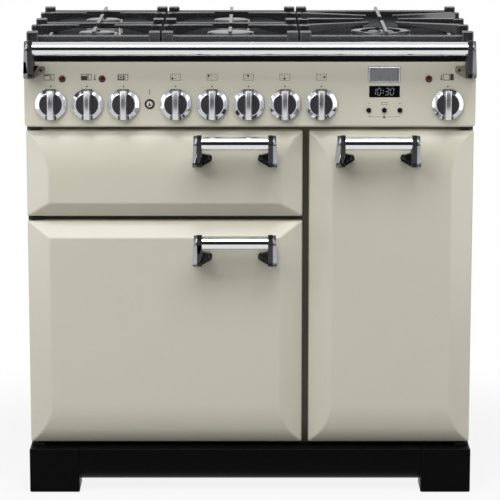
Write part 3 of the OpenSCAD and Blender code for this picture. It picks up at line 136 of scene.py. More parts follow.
# The opening lies straight in front, 10 degrees up, and its edge fades over a few degrees.
toward = add_node(room, "ShaderNodeVectorMath", {1: (0.0, -0.985, 0.174)}, {0: way},
                  operation="DOT_PRODUCT").outputs["Value"]
opening = add_node(room, "ShaderNodeMapRange",
                   {"From Min": 0.86, "From Max": 0.91, "To Min": 1.0, "To Max": 0.02},
                   {"Value": toward}, interpolation_type="SMOOTHSTEP").outputs["Result"]
shown = add_node(room, "ShaderNodeMath", links={0: ceiling, 1: opening}, operation="MULTIPLY").outputs[0]
LEFT_FILL, RIGHT_FILL = 0.36, 0.15
sides = room_ramp("X", -0.5, 0.5, {"To Min": LEFT_FILL, "To Max": RIGHT_FILL})
spread = room_ramp("Z", 0.3, 0.7, {"To Max": RIGHT_FILL}, {"To Min": sides})
level = add_node(room, "ShaderNodeMapRange",
                 links={"Value": seen_rays(room), "To Min": spread, "To Max": shown})
room.links.new(level.outputs["Result"], room.nodes["Background"].inputs["Color"])
room.nodes["Background"].inputs["Strength"].default_value = 1.0
print("white in reflections; dull surfaces get", LEFT_FILL, "from the left,", RIGHT_FILL, "from the right")


# %% The lamps
def soft_lamp(name, place, aim, size, power):
    """Hangs a large rectangular lamp at a place and turns it to face its aim."""
    data = bpy.data.lights.new(name, "AREA")
    data.shape = "RECTANGLE"
    data.size, data.size_y = size
    data.energy = power
    lamp = bpy.data.objects.new(name, data)
    lamp.location = place
    lamp.rotation_euler = (Vector(aim) - Vector(place)).to_track_quat("-Z", "Y").to_euler()
    bpy.context.scene.collection.objects.link(lamp)
    return lamp


soft_lamp("left panel", (-1.7, -0.75, 0.9), (0, -0.25, 0.5), (0.8, 1.6), 7.5)
soft_lamp("right panel", (1.4, -0.65, 0.9), (0, -0.25, 0.5), (0.8, 1.6), 7)
soft_lamp("overhead box", (0.1, -1.7, 3.0), (0, -0.25, 0.6), (2.6, 1.2), 66)
soft_lamp("front left box", (-1.6, -2.6, 2.4), (0, -0.25, 0.5), (1.6, 1.2), 38)

# %% [markdown]
# ## The floor
# The floor is plain and pale and takes the cooker's shadow. Far from the cooker it fades to the
# white of the walls, so that no edge shows where it ends. The paper itself is light grey, which
# keeps it from throwing so much light back up that the doors' lower ends lose their shade.

# %% Floor
FLOOR_R = 2.4
floor_data = bpy.data.meshes.new("studio_floor")
mesh = bmesh.new()
bmesh.ops.create_circle(mesh, cap_ends=True, segments=96, radius=FLOOR_R)
mesh.to_mesh(floor_data)
mesh.free()
floor = bpy.data.objects.new("studio_floor", floor_data)
bpy.context.scene.collection.objects.link(floor)
paper = bpy.data.materials.new("white studio paper")
paper.use_nodes = True
tree = paper.node_tree
diffuse = tree.nodes["Principled BSDF"]
diffuse.inputs["Base Color"].default_value = hex_colour("#c8c8c7")
diffuse.inputs["Roughness"].default_value = 0.9
diffuse.inputs["Specular IOR Level"].default_value = 0.1
glow = add_node(tree, "ShaderNodeEmission", {"Color": (1, 1, 1, 1), "Strength": 1.0}).outputs[0]
spot = add_node(tree, "ShaderNodeTexCoord").outputs["Object"]
far = add_node(tree, "ShaderNodeVectorMath", links={0: spot}, operation="LENGTH").outputs["Value"]
fade = add_node(tree, "ShaderNodeMapRange", {"From Min": 0.5, "From Max": 1.0, "To Min": 0.87},
                {"Value": far}, interpolation_type="SMOOTHSTEP").outputs["Result"]
share = add_node(tree, "ShaderNodeMath", links={0: seen_rays(tree), 1: fade}, operation="MULTIPLY").outputs[0]
blend = add_node(tree, "ShaderNodeMixShader", links={0: share, 1: diffuse.outputs[0], 2: glow})
tree.links.new(blend.outputs[0], tree.nodes["Material Output"].inputs["Surface"])
floor_data.materials.append(paper)
print("floor radius", FLOOR_R, "m; the paper fades to white between 0.5 and 1 m")

# %% [markdown]
# ## How a finish is made
# Every finish starts from the plain surface and adds what the eye looks for: a little drift in
# colour, a little in gloss, and a relief that bends the reflections. All three come from one
# pattern laid in the object's own space at a size in millimetres, so it stays on the metal when
# a door swings. Speckle and spangle use cells instead of a soft noise.

# %% The recipe for a finish
finishes = {}


def make_finish(name, slots, light, dark, rough, grain, metal=0.0, bump=0.0, relief=0.02, ior=1.5,
                coat=0.0, stretch=(1, 1, 1), pattern="noise", limits=(0.3, 0.7), detail=3.0):
    """Makes a material from two near colours, two roughnesses and a pattern of a size in millimetres."""
    material = bpy.data.materials.new(name)
    material.use_nodes = True
    tree = material.node_tree
    shader = tree.nodes["Principled BSDF"]
    shader.inputs["Metallic"].default_value = metal
    shader.inputs["Coat Weight"].default_value = coat
    shader.inputs["Coat Roughness"].default_value = 0.05
    if not metal:
        shader.inputs["IOR"].default_value = ior
    spot = add_node(tree, "ShaderNodeTexCoord").outputs["Object"]
    size = [1000 * s / grain for s in stretch]
    spot = add_node(tree, "ShaderNodeMapping", {"Scale": size}, {"Vector": spot}).outputs["Vector"]
    if pattern == "noise":
        waves = add_node(tree, "ShaderNodeTexNoise", {"Scale": 1.0, "Detail": detail}, {"Vector": spot})
        raw = waves.outputs["Fac"]
    else:
        cells = add_node(tree, "ShaderNodeTexVoronoi", {"Scale": 1.0}, {"Vector": spot}).outputs
        raw = cells["Distance"]
        if pattern == "spangle":
            raw = add_node(tree, "ShaderNodeSeparateColor", links={"Color": cells["Color"]}).outputs["Red"]
    share = add_node(tree, "ShaderNodeMapRange", {"From Min": limits[0], "From Max": limits[1]},
                     {"Value": raw}).outputs["Result"]
    # Sockets 6 and 7 of the Mix node are the colours A and B, and its third output is the colour.
    mix = add_node(tree, "ShaderNodeMix", {6: hex_colour(dark), 7: hex_colour(light)}, {0: share},
                   data_type="RGBA")
    tree.links.new(mix.outputs[2], shader.inputs["Base Color"])
    gloss = add_node(tree, "ShaderNodeMapRange", {"To Min": rough[1], "To Max": rough[0]}, {"Value": share})
    tree.links.new(gloss.outputs["Result"], shader.inputs["Roughness"])
    if bump:
        lumps = add_node(tree, "ShaderNodeBump", {"Strength": bump, "Distance": relief / 1000},
                         {"Height": share})
        tree.links.new(lumps.outputs["Normal"], shader.inputs["Normal"])
    finishes.update({slot: material for slot in slots})


print("one recipe, patterns: noise, speckle, spangle")

# %% [markdown]
# ## Enamel
# Vitreous enamel is glass melted onto steel. It is hard, glossy and slightly wavy, because the
# glass pools a little as it melts. The stone colour covers the doors and the panel. The ovens are
# lined with a dark enamel flecked with white, as nearly every oven is, so that spots don't show.

# %% Enamel finishes
# Stone-coloured enamel: a soft sheen with very weak waves about 40 mm long that bend its highlights.
make_finish("stone vitreous enamel", ["door_enamel"], "#bab7a8", "#b9b6a7", (0.25, 0.27), 40,
            bump=0.01, relief=0.01, limits=(0.1, 0.9), detail=0.0)
# The panel is a flat sheet with no folds. Its enamel is the doors' stone painted paler: painted light, for the
# brighter light on the panel.
make_finish("stone enamel painted paler as light", ["panel_enamel"], "#c3c0b1", "#c2bfb0", (0.25, 0.27), 40,
            bump=0.01, relief=0.01, limits=(0.1, 0.9), detail=0.0)
# Black enamel of the plinth: matt, with a weak sheen, so the white floor hardly shows in it.
make_finish("matt black enamel", ["black_enamel"], "#070707", "#050505", (0.32, 0.4), 6, bump=0.1, ior=1.12)
# The sides' stove enamel: dark grey with a fine orange-peel skin, which dulls the room to a haze.
make_finish("black stove enamel", ["side_enamel"], "#1d1d1e", "#19191a", (0.38, 0.46), 2.5, bump=0.25,
            relief=0.03)
# The rail's bracket feet: the doors' stone, darker, because they always stand in the rail's shade.
make_finish("shaded stone enamel", ["bracket_stone"], "#8b8978", "#878574", (0.3, 0.36), 9, bump=0.03)
# The front frame: the doors' stone darkened to a brown-black, as painted shade for the dark lines between the
# doors.
make_finish("stone enamel darkened as painted gap shade", ["frame_enamel"], "#5c5747", "#565242", (0.4, 0.5), 4, bump=0.1)
# Hob and burner caps: the glossiest glass on the cooker, almost a mirror.
make_finish("glossy black enamel", ["hob_enamel", "cap_enamel"], "#0d0d0f", "#09090b", (0.12, 0.2), 7,
            bump=0.08)
# The rear vent strip is a dull mid grey; the doors' liners are dark and glossy, so they wipe clean.
make_finish("grey vent enamel", ["vent_enamel"], "#5d5f61", "#565859", (0.4, 0.5), 3, bump=0.15)
make_finish("dark oven liner enamel", ["liner_enamel"], "#2b2c2f", "#252629", (0.18, 0.26), 8, bump=0.1)
# Oven enamel with white flecks about 1 mm wide, drawn where a cell's middle is near.
make_finish("flecked oven enamel", ["oven_enamel"], "#26282c", "#c9cbd0", (0.2, 0.3), 7, pattern="speckle",
            limits=(0.13, 0.2), bump=0.1)
# The grill pan: the same, darker and with smaller flecks.
make_finish("flecked pan enamel", ["pan_enamel"], "#18191c", "#9fa1a6", (0.16, 0.26), 6, pattern="speckle",
            limits=(0.12, 0.18), bump=0.1)
print("enamels:", sorted(finishes))

# %% [markdown]
# ## Metals
# Chrome plate is a mirror with a faint cool tint. Cast iron under matt enamel is dark and grainy.
# The burners are die-cast aluminium, sand-dull and pale. Zinc grows crystals as it cools, which is
# the spangle on galvanised sheet. Oven fans and covers are plain rolled steel, with fine lines
# along the roll's way.

# %% Metal finishes
# Chrome: nearly no pattern, only a trace of polishing haze 5 mm across.
make_finish("polished chrome plate", ["chrome_plate"], "#dfe0e3", "#dadbde", (0.05, 0.08), 5, metal=1.0)
# The knobs' chrome is a little duller, as chrome on a moulding is.
make_finish("chromed knob metal", ["knob_chrome"], "#c4c5c9", "#bcbdc1", (0.08, 0.14), 4, metal=1.0)
# The handles' end caps: a satin plate, which blurs the room to a soft grey.
make_finish("satin cap plate", ["cap_metal"], "#b3b4ba", "#a9aab0", (0.3, 0.36), 2, metal=1.0)
# Shelf wire: plated without polishing, so its glints are soft.
make_finish("chromed wire", ["wire_chrome"], "#c6c8ca", "#b9bbbd", (0.16, 0.24), 3, metal=1.0)
# Cast iron in black enamel: sand grain about 1.2 mm, and a sheen strong enough to line each edge.
make_finish("enamelled cast iron", ["cast_iron"], "#141418", "#101013", (0.2, 0.3), 1.2, bump=0.08,
            relief=0.03, ior=1.8)
# Die-cast aluminium: pale, slightly rough, faint grain from blasting.
make_finish("blasted cast aluminium", ["cast_aluminium"], "#c9cacb", "#bcbdbf", (0.34, 0.44), 0.9, metal=1.0,
            bump=0.25, relief=0.03)
# Galvanised sheet: crystals about 9 mm across, each with its own grey and gloss.
make_finish("galvanised sheet", ["galvanised_steel"], "#b4b7b9", "#a0a3a7", (0.32, 0.46), 9, metal=1.0,
            pattern="spangle", limits=(0.0, 1.0))
# Hinges and brackets: zinc darkened nearly to black, as painted shade where they show in the door gaps, half
# dull and half metal.
make_finish("zinc darkened as painted gap shade", ["zinc_steel"], "#2b2c2e", "#222325", (0.4, 0.5), 5, metal=0.6)
# Rolled steel: lines a fraction of a millimetre apart, drawn 0.8 mm apart so that they show.
make_finish("rolled oven steel", ["oven_steel"], "#a3a5a7", "#8f9194", (0.26, 0.42), 0.8, metal=1.0,
            stretch=(0.03, 1, 1))
# Heating elements: steel that heat has turned a patchy blue-grey.
make_finish("oxidised element steel", ["element_steel"], "#5a5b60", "#3f3f44", (0.45, 0.62), 7, metal=0.9,
            bump=0.1)
# Pipes are drawn bright, feet are blackened, and the gas taps are turned from brass.
make_finish("drawn pipe steel", ["pipe_steel"], "#bcc0c3", "#a7abae", (0.22, 0.36), 3, metal=1.0)
make_finish("blackened steel", ["foot_steel"], "#4b4c50", "#3c3d41", (0.34, 0.5), 3, metal=0.8)
make_finish("machined brass", ["tap_brass"], "#bd9b50", "#a98843", (0.24, 0.36), 1.5, metal=1.0)
print("finishes so far:", len(finishes))

# %% [markdown]
# ## Glass, plastic, ceramic, rubber and wool
# The rest are not metals, so their gloss comes from the index of refraction: about 1.5 for glass
# and hard plastics. The lamps' lenses are dark red and only glow when lit. The wool blankets are
# a yellow-grey felt that hides behind the side panels.

# %% Other finishes
# Clock glass and red lenses: a second clear layer on top gives the deep, wet gloss.
make_finish("smoked clock glass", ["clock_glass"], "#0a0b0e", "#07080a", (0.05, 0.08), 20, coat=0.6)
make_finish("dark red lens", ["red_lens"], "#5a1210", "#480d0b", (0.14, 0.2), 5, coat=0.2)
# The electrodes' ceramic is glazed white; the switches behind the panel are dull white plastic.
make_finish("glazed ceramic", ["electrode_ceramic"], "#d8d4ca", "#cbc6bb", (0.2, 0.3), 3)
make_finish("moulded switch plastic", ["switch_plastic"], "#d8d5cc", "#cfccc2", (0.4, 0.5), 1.5, bump=0.15)
# Black plastics: dull as it leaves the mould on the brackets, polished on buttons and lobes.
make_finish("moulded black plastic", ["black_plastic"], "#1f1f21", "#1a1a1c", (0.34, 0.42), 1.2, bump=0.15)
make_finish("polished black plastic", ["button_plastic"], "#131315", "#0f0f11", (0.18, 0.26), 4, bump=0.05)
# A knitted rope seal: ribs 3 mm long round the door's mouth.
make_finish("knitted rope seal", ["seal_rubber"], "#3b3a38", "#1e1d1c", (0.75, 0.9), 3, bump=0.6, relief=0.5)
# Wool felt: no gloss at all and a deep, loose nap.
make_finish("mineral wool felt", ["mineral_wool"], "#b3a878", "#8d8259", (0.9, 1.0), 5, bump=0.8, relief=1.2)
slot_of = {part["node"]: part["material_slot"] for part in frame["record"]["subparts"]}
for node, solid in cad_nodes.items():
    solid.data.materials.clear()
    solid.data.materials.append(finishes[slot_of[node]])
print("solids dressed:", len(slot_of), "with", len(set(finishes.values())), "finishes")

# %% [markdown]
# ## Shapes to build with
# A few small makers cover most of the cooker: a block between two corners, a rod between two
# points, an outline pushed into a plate, an outline turned about an axis as on a lathe, and a skin
# wrapped tightly round a few shapes, which gives cast and moulded brackets their flowing outline.

# %% Shape helpers
def block(mesh, low, high):
    """Adds a box between two corners and returns its points."""
    low, high = Vector(low), Vector(high)
    place = Matrix.LocRotScale((low + high) / 2, None, high - low)
    return bmesh.ops.create_cube(mesh, size=1.0, matrix=place)["verts"]


def rod(mesh, start, end, radius, end_radius=None, sides=32):
    """Adds a round rod, or a cone where the end has its own radius, and returns its points."""
    start, end = Vector(start), Vector(end)
    place = Matrix.LocRotScale((start + end) / 2, (end - start).to_track_quat("Z", "Y"), None)
    end_radius = radius if end_radius is None else end_radius
    return bmesh.ops.create_cone(mesh, cap_ends=True, segments=sides, radius1=radius, radius2=end_radius,
                                 depth=(end - start).length, matrix=place)["verts"]


def plate(mesh, outline, along, corner=0.0, steps=6):
    """Pushes a flat outline along a line, and rounds the edges that the push made if asked."""
    face = mesh.faces.new([mesh.verts.new(point) for point in outline])
    first = list(face.verts)
    grown = bmesh.ops.extrude_face_region(mesh, geom=[face])["geom"]
    moved = [v for v in grown if isinstance(v, bmesh.types.BMVert)]
    bmesh.ops.translate(mesh, verts=moved, vec=along)
    if corner:
        pushed = {e for v in first for e in v.link_edges if e.other_vert(v) in moved}
        bmesh.ops.bevel(mesh, geom=list(pushed), offset=corner, segments=steps, affect="EDGES", profile=0.5,
                        material=-1, clamp_overlap=True)
    return first + moved


def turned(mesh, outline, place, sides=64):
    """Turns an outline of (radius, height) points about the Z axis of a place, as a lathe does."""
    before = set(mesh.verts)
    points = [mesh.verts.new(place @ Vector((radius, 0, height))) for radius, height in outline]
    lines = [mesh.edges.new(pair) for pair in zip(points, points[1:])]
    axis = place.to_3x3() @ Vector((0, 0, 1))
    bmesh.ops.spin(mesh, geom=points + lines, cent=place.translation, axis=axis, angle=math.tau, steps=sides,
                   use_merge=True)
    made = [v for v in mesh.verts if v not in before]
    bmesh.ops.remove_doubles(mesh, verts=made, dist=0.001)


def wrapped(mesh, points):
    """Wraps a tight skin round the points and removes what it hides."""
    result = bmesh.ops.convex_hull(mesh, input=points)
    hidden = {g for g in result["geom_interior"] + result["geom_unused"] if isinstance(g, bmesh.types.BMVert)}
    bmesh.ops.delete(mesh, geom=list(hidden), context="VERTS")


print("makers: block, rod, plate, turned, wrapped")

# %% [markdown]
# ## From a mesh to a piece
# A piece needs the same last steps each time: sizes to metres, faces turned outward, smooth
# shading that stays crisp at real edges, a small soft edge where light can catch, its finish, and
# the body that it rides on. An edge that is perfectly sharp looks drawn, so nearly every piece
# gets a soft edge of a few tenths of a millimetre to a few millimetres.

# %% The last steps of a piece
def finish_piece(name, mesh, slot, body="root", stands_for=(), edge=0.0, crease=32.0, outward=True, steps=2):
    """Makes a piece of a mesh in millimetres: its size, shading, soft edges, finish and body."""
    if outward:
        bmesh.ops.recalc_face_normals(mesh, faces=mesh.faces)
    bmesh.ops.scale(mesh, verts=mesh.verts, vec=(0.001, 0.001, 0.001))
    limit = math.radians(crease)
    for face in mesh.faces:
        face.smooth = True
    for line in mesh.edges:
        line.smooth = bool(edge) or (len(line.link_faces) == 2 and line.calc_face_angle(0.0) < limit)
    data = bpy.data.meshes.new(name)
    mesh.to_mesh(data)
    mesh.free()
    piece = bpy.data.objects.new(name, data)
    bpy.context.scene.collection.objects.link(piece)
    data.materials.append(finishes[slot])
    if edge:
        soft = piece.modifiers.new("soft edges", "BEVEL")
        soft.width, soft.segments, soft.limit_method, soft.angle_limit = edge / 1000, steps, "ANGLE", limit
        piece.modifiers.new("flat faces", "WEIGHTED_NORMAL").keep_sharp = True
    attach(piece, body)
    if stands_for:
        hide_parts(*stands_for)
    return piece


def softened(node, edge, crease=32.0, steps=2, body="root"):
    """Copies a solid, joins its loose triangles into whole faces and gives it soft edges."""
    mesh = bmesh.new()
    mesh.from_mesh(cad_nodes[node].data)
    bmesh.ops.scale(mesh, verts=mesh.verts, vec=(1000, 1000, 1000))
    bmesh.ops.remove_doubles(mesh, verts=mesh.verts, dist=0.005)
    bmesh.ops.dissolve_limit(mesh, angle_limit=math.radians(0.5), verts=mesh.verts, edges=mesh.edges)
    return finish_piece(node + "_soft", mesh, slot_of[node], body, [node], edge, crease, False, steps)


# %% [markdown]
# ## Door fronts
# Each door is one sheet of steel, pressed into a shallow tray and enamelled. Its sides slope back
# in flat bevels; some ends do too, and the others roll over in a wide arc. It is drawn as the
# door's side view: a spin of one point makes each arc. The side view is pushed to the door's
# width, two slanting cuts make the side bevels, and the creases are rounded to a 3 mm radius, as
# the press leaves them.

# %% Door fronts
FACE_Y, EDGE_Y, DOOR_BACK_Y = -270.75, -244.75, -224.75
BEVEL_W, BEVEL_H, ROLL_H = 46.0, 31.0, 87.0
FALL = EDGE_Y - FACE_Y
ROLL_R = (ROLL_H ** 2 + FALL ** 2) / (2 * FALL)
CREASE_R, SHEET = 3.0, 2.0


def door_front(name, x0, x1, z0, z1, rolled_top, rolled_low, body):
    """Presses one door front: side view, push, side bevels, rounded creases and the sheet's thickness."""
    mesh = bmesh.new()
    # The side view is drawn up to its middle from each end, so the upper half is turned round after.
    for z, up, rolled in ((z0, 1, rolled_low), (z1, -1, rolled_top)):
        mesh.verts.new((x0, DOOR_BACK_Y, z))
        if rolled:
            start = mesh.verts.new((x0, EDGE_Y, z))
            angle = math.asin(ROLL_H / ROLL_R)
            bmesh.ops.spin(mesh, geom=[start], cent=(x0, FACE_Y + ROLL_R, z + up * ROLL_H), axis=(up, 0, 0),
                           angle=-angle, steps=20)
        else:
            mesh.verts.new((x0, EDGE_Y, z))
            mesh.verts.new((x0, FACE_Y, z + up * BEVEL_H))
        mesh.verts.ensure_lookup_table()
        if up == 1:
            low_count = len(mesh.verts)
    outline = list(mesh.verts)[:low_count] + list(mesh.verts)[low_count:][::-1]
    face = mesh.faces.new(outline)
    pushed = bmesh.ops.extrude_face_region(mesh, geom=[face])["geom"]
    moved = [v for v in pushed if isinstance(v, bmesh.types.BMVert)]
    bmesh.ops.translate(mesh, verts=moved, vec=(x1 - x0, 0, 0))
    for x, side in ((x0, -1), (x1, 1)):
        everything = mesh.verts[:] + mesh.edges[:] + mesh.faces[:]
        cut = bmesh.ops.bisect_plane(mesh, geom=everything, dist=0.0001, plane_co=(x, EDGE_Y, 0),
                                     plane_no=(side * FALL, -BEVEL_W, 0), clear_outer=True)
        rim = [g for g in cut["geom_cut"] if isinstance(g, bmesh.types.BMEdge)]
        bmesh.ops.holes_fill(mesh, edges=rim, sides=0)
    backs = [f for f in mesh.faces if all(abs(v.co.y - DOOR_BACK_Y) < 0.01 for v in f.verts)]
    bmesh.ops.delete(mesh, geom=backs, context="FACES_ONLY")
    bmesh.ops.dissolve_limit(mesh, angle_limit=math.radians(0.1), verts=mesh.verts, edges=mesh.edges)
    creases = [e for e in mesh.edges if len(e.link_faces) == 2 and e.calc_face_angle(0.0) > math.radians(12)]
    bmesh.ops.bevel(mesh, geom=creases, offset=CREASE_R, segments=4, affect="EDGES", profile=0.5, material=-1,
                    clamp_overlap=True)
    piece = finish_piece(name + "_front", mesh, "door_enamel", body, [name + "_door_panel"], crease=60)
    sheet = piece.modifiers.new("sheet", "SOLIDIFY")
    sheet.thickness, sheet.offset = SHEET / 1000, -1.0
    piece.modifiers.new("flat faces", "WEIGHTED_NORMAL").keep_sharp = True
    return piece


door_front("grill", -450, 106, 570.5, 745, True, False, "grill_door")
door_front("left_oven", -450, 106, 98.5, 561, False, True, "left_oven_door")
door_front("right_oven", 119, 450, 98.5, 745, True, True, "right_oven_door")
print("door roll radius:", round(ROLL_R, 1), "mm")

# %% [markdown]
# ## Bar handles and the rail
# A bar handle is a chromed tube held by two moulded black brackets with chromed caps outside. The
# bracket flows from a collar round the tube down to a foot on the door, with a rounded lobe that
# points inward. The cap leans outward, so it is widest at the foot. Wrapping a skin round a few
# discs and blocks gives that flowing outline at once, where a cutter and a file would be the
# workshop's way.

# %% Handles and rail
TUBE_Y, TUBE_R, COLLAR_R = -320.75, 13.5, 16.5
BRACKET_W, CAP_W, CAP_LEAN, FOOT_H, LOBE = 9.5, 8.5, 2.3, 28.0, 20.0
# The outline of a screw head with its hollow, as (radius, height) points.
SCREW = [(0, 0.4), (1.2, 0.4), (1.4, 1.0), (2.6, 0.9), (3.2, 0.2), (3.2, -0.6), (0, -0.6)]


def bar_handle(name, centre, z, length, drop, body, node, lobe_finish="button_plastic"):
    """Makes a tube with its caps in chrome, the two black brackets that carry it and their lobes."""
    chrome, caps, black, feet, screws = (bmesh.new() for _ in range(5))
    low = z - drop - FOOT_H / 2
    for inward in (1, -1):
        tip = centre - inward * length / 2
        outside, seam, inside = tip, tip + inward * CAP_W, tip + inward * (CAP_W + BRACKET_W)
        knee_y, knee_z, cap_end = TUBE_Y + 2, z - drop + 4, seam - inward * 0.1
        cap = rod(caps, (outside + inward * CAP_LEAN, TUBE_Y, z), (cap_end, TUBE_Y, z), TUBE_R + 2, sides=48)
        cap += block(caps, (min(outside, seam), FACE_Y - 6, low + 1),
                     (max(outside, seam) - 0.1, FACE_Y - 2, low + 26))
        cap += rod(caps, (outside, knee_y, knee_z), (cap_end, knee_y, knee_z), 13)
        wrapped(caps, cap)
        arm = rod(black, (seam, TUBE_Y, z), (inside, TUBE_Y, z), COLLAR_R, sides=48)
        arm += block(black, (min(seam, inside), FACE_Y - 3, low), (max(seam, inside), FACE_Y, low + FOOT_H))
        arm += rod(black, (seam, knee_y, knee_z), (inside, knee_y, knee_z), 13)
        wrapped(black, arm)
        lobe = block(feet, (min(seam, inside), FACE_Y - 14, low + 1),
                     (max(seam, inside), FACE_Y, low + FOOT_H - 1))
        tip_x = inside + inward * (LOBE - 7)
        lobe += rod(feet, (tip_x, FACE_Y - 14, z - drop + 3), (tip_x, FACE_Y, z - drop + 3), 7)
        wrapped(feet, lobe)
        out = Matrix.Translation((tip_x, FACE_Y - 14, z - drop + 3)) @ Matrix.Rotation(math.radians(90), 4, "X")
        turned(screws, SCREW, out, 24)
    ends = [centre - length / 2 + CAP_W + 2, centre + length / 2 - CAP_W - 2]
    rod(chrome, (ends[0], TUBE_Y, z), (ends[1], TUBE_Y, z), TUBE_R, sides=64)
    finish_piece(name + "_tube", chrome, "chrome_plate", body, [node], edge=1.2, crease=25, steps=3)
    ends = finish_piece(name + "_caps", caps, "chrome_plate", body, edge=2.0, crease=25, steps=4)
    ends.data.materials[0] = finishes["cap_metal"]
    arms = finish_piece(name + "_brackets", black, "button_plastic", body, edge=1.2, crease=25, steps=3)
    arms.data.materials[0] = finishes["black_plastic"]
    lobes = finish_piece(name + "_lobes", feet, "button_plastic", body, edge=1.6, crease=25, steps=4)
    lobes.data.materials[0] = finishes[lobe_finish]
    finish_piece(name + "_screws", screws, "foot_steel", body, crease=40)


bar_handle("grill_handle", -30, 731, 168, 39, "grill_door", "grill_door_handle")
bar_handle("left_oven_handle", -30, 530, 168, 39, "left_oven_door", "left_oven_door_handle")
bar_handle("right_oven_handle", 255, 731, 168, 39, "right_oven_door", "right_oven_door_handle")
bar_handle("front_rail", 0, 919.5, 892, 50, "root", "front_rail", "bracket_stone")
print("tube diameter:", 2 * TUBE_R, "mm")

# %% [markdown]
# ## Knobs
# A knob is turned from one bar: a skirt with a polished slope, a dark recessed disc, and a grip
# milled across it, with a dark notch in the skirt at each end of the grip. The grip's front is
# satin and bowed from end to end, so it runs from light to dark, and its flanks fall away. The
# skirt is spun from its outline. The grip is a plate cut into twelve lengths, whose points are
# then set back along a parabola.

# %% Knobs
KNOB_Z, KNOB_GAP, GRIP_BOW, GRIP_HALF = 803.0, 0.4, 5.0, 28.6
GRIP_FOOT, GRIP_TOP = 10.5, 30.2
knobs = {"grill_knob": -397, "oven_function_knob": -324.5, "oven_heat_knob": -252, "burner_knob_1": -148,
         "burner_knob_2": -75.5, "burner_knob_3": -3, "burner_knob_4": 69.5, "burner_knob_5": 142,
         "right_oven_knob": 394}
SKIRT = [(0, 0), (28.6, 0), (29.5, 0.6), (29.5, 2), (30.4, 2.3), (31, 3), (31, 5.8), (30.3, 6.3),
         (24.2, 11.3), (23.5, 11.7), (22.9, 11.7), (22.5, 11.9), (22.5, 10.9)]
# Grip: satin metal brushed up and down. Disc: a dark lacquer that sets the grip off.
make_finish("satin grip metal", ["grip"], "#d9dadd", "#c9cacd", (0.26, 0.34), 1.0, metal=1.0,
            stretch=(1, 1, 0.06))
make_finish("dark lacquered disc", ["disc"], "#2f2d31", "#29272b", (0.3, 0.38), 4)


def knob(name, x):
    """Makes one knob: chromed skirt and spindle, dark disc and satin grip."""
    out = Matrix.Translation((x, FACE_Y - KNOB_GAP, KNOB_Z)) @ Matrix.Rotation(math.radians(90), 4, "X")
    skirt = bmesh.new()
    turned(skirt, SKIRT, out)
    rod(skirt, (x, FACE_Y - KNOB_GAP - 1, KNOB_Z), (x, FACE_Y + 16, KNOB_Z), 4, sides=24)
    piece = finish_piece(name + "_skirt", skirt, "knob_chrome", name, [name], crease=50)
    disc = bmesh.new()
    turned(disc, [(22.6, 10.2), (22.6, 10.9), (0, 10.9)], out)
    for end in (-1, 1):
        wedge = ((21.5, 10.4), (22.5, 12.1), (30.6, 5.9), (30.2, 4))
        notch = [out @ Vector((u, end * v, h)) for u in (-11, 11) for v, h in wedge]
        wrapped(disc, [disc.verts.new(corner) for corner in notch])
    face = finish_piece(name + "_disc", disc, "knob_chrome", name)
    face.data.materials[0] = finishes["disc"]
    grip = bmesh.new()
    side = [(-8.2, GRIP_FOOT), (8.2, GRIP_FOOT), (7.2, 22), (4.9, GRIP_TOP), (-4.9, GRIP_TOP), (-7.2, 22)]
    plate(grip, [out @ Vector((u, -GRIP_HALF, h)) for u, h in side], (0, 0, 2 * GRIP_HALF))
    lengthways = [e for e in grip.edges if abs(e.verts[0].co.z - e.verts[1].co.z) > 50]
    bmesh.ops.subdivide_edges(grip, edges=lengthways, cuts=11, use_grid_fill=True)
    for v in grip.verts:
        lift = FACE_Y - KNOB_GAP - v.co.y
        share = max(0.0, (lift - GRIP_FOOT) / (GRIP_TOP - GRIP_FOOT))
        v.co.y += GRIP_BOW * ((v.co.z - KNOB_Z) / GRIP_HALF) ** 2 * share
    bar = finish_piece(name + "_grip", grip, "knob_chrome", name, edge=0.8, crease=24, steps=3)
    bar.data.materials[0] = finishes["grip"]


for name, x in knobs.items():
    knob(name, x)
print("knobs:", len(knobs))

# %% [markdown]
# ## Pan supports
# The supports are cast in one pour, so every edge is round and the fingers taper as they reach
# over the flame. Each one is a set of overlapping bars with soft edges, which looks the same as
# one casting and stays light. The thick bars get a wide soft edge that catches a band of light,
# and the thin fingers a small one.

# %% Pan supports
BAR_Y = [-217.75, -99.75, 18.25, 136.25, 254.25]
TOP, BAR_TOP, RAIL_Z, TRAY_Z = 943.0, 935.0, 906.0, 897.3
FINGER_ROOT_H, FINGER_TIP_H, HALF_GAP = 22.0, 5.0, 36.0
LUG, RAIL_IN, WOK_REACH, WOK_SKEW = 23, 21, 62, 0.45


def finger(mesh, x, w, side, y, length, skew=0.0):
    """Adds a finger that tapers from one side of a support towards a burner."""
    start, step = (x, 1) if side == 0 else (x + w, -1)
    root, tip = start + step * 8, start + step * length
    outline = [(root, y - 7, TOP), (tip, y + skew - 3, TOP), (tip, y + skew + 3, TOP), (root, y + 7, TOP)]
    made = plate(mesh, outline, (0, 0, -FINGER_TIP_H))
    for v in made[4:]:
        v.co.z -= (FINGER_ROOT_H - FINGER_TIP_H) * (abs(v.co.x - root) < 0.1)


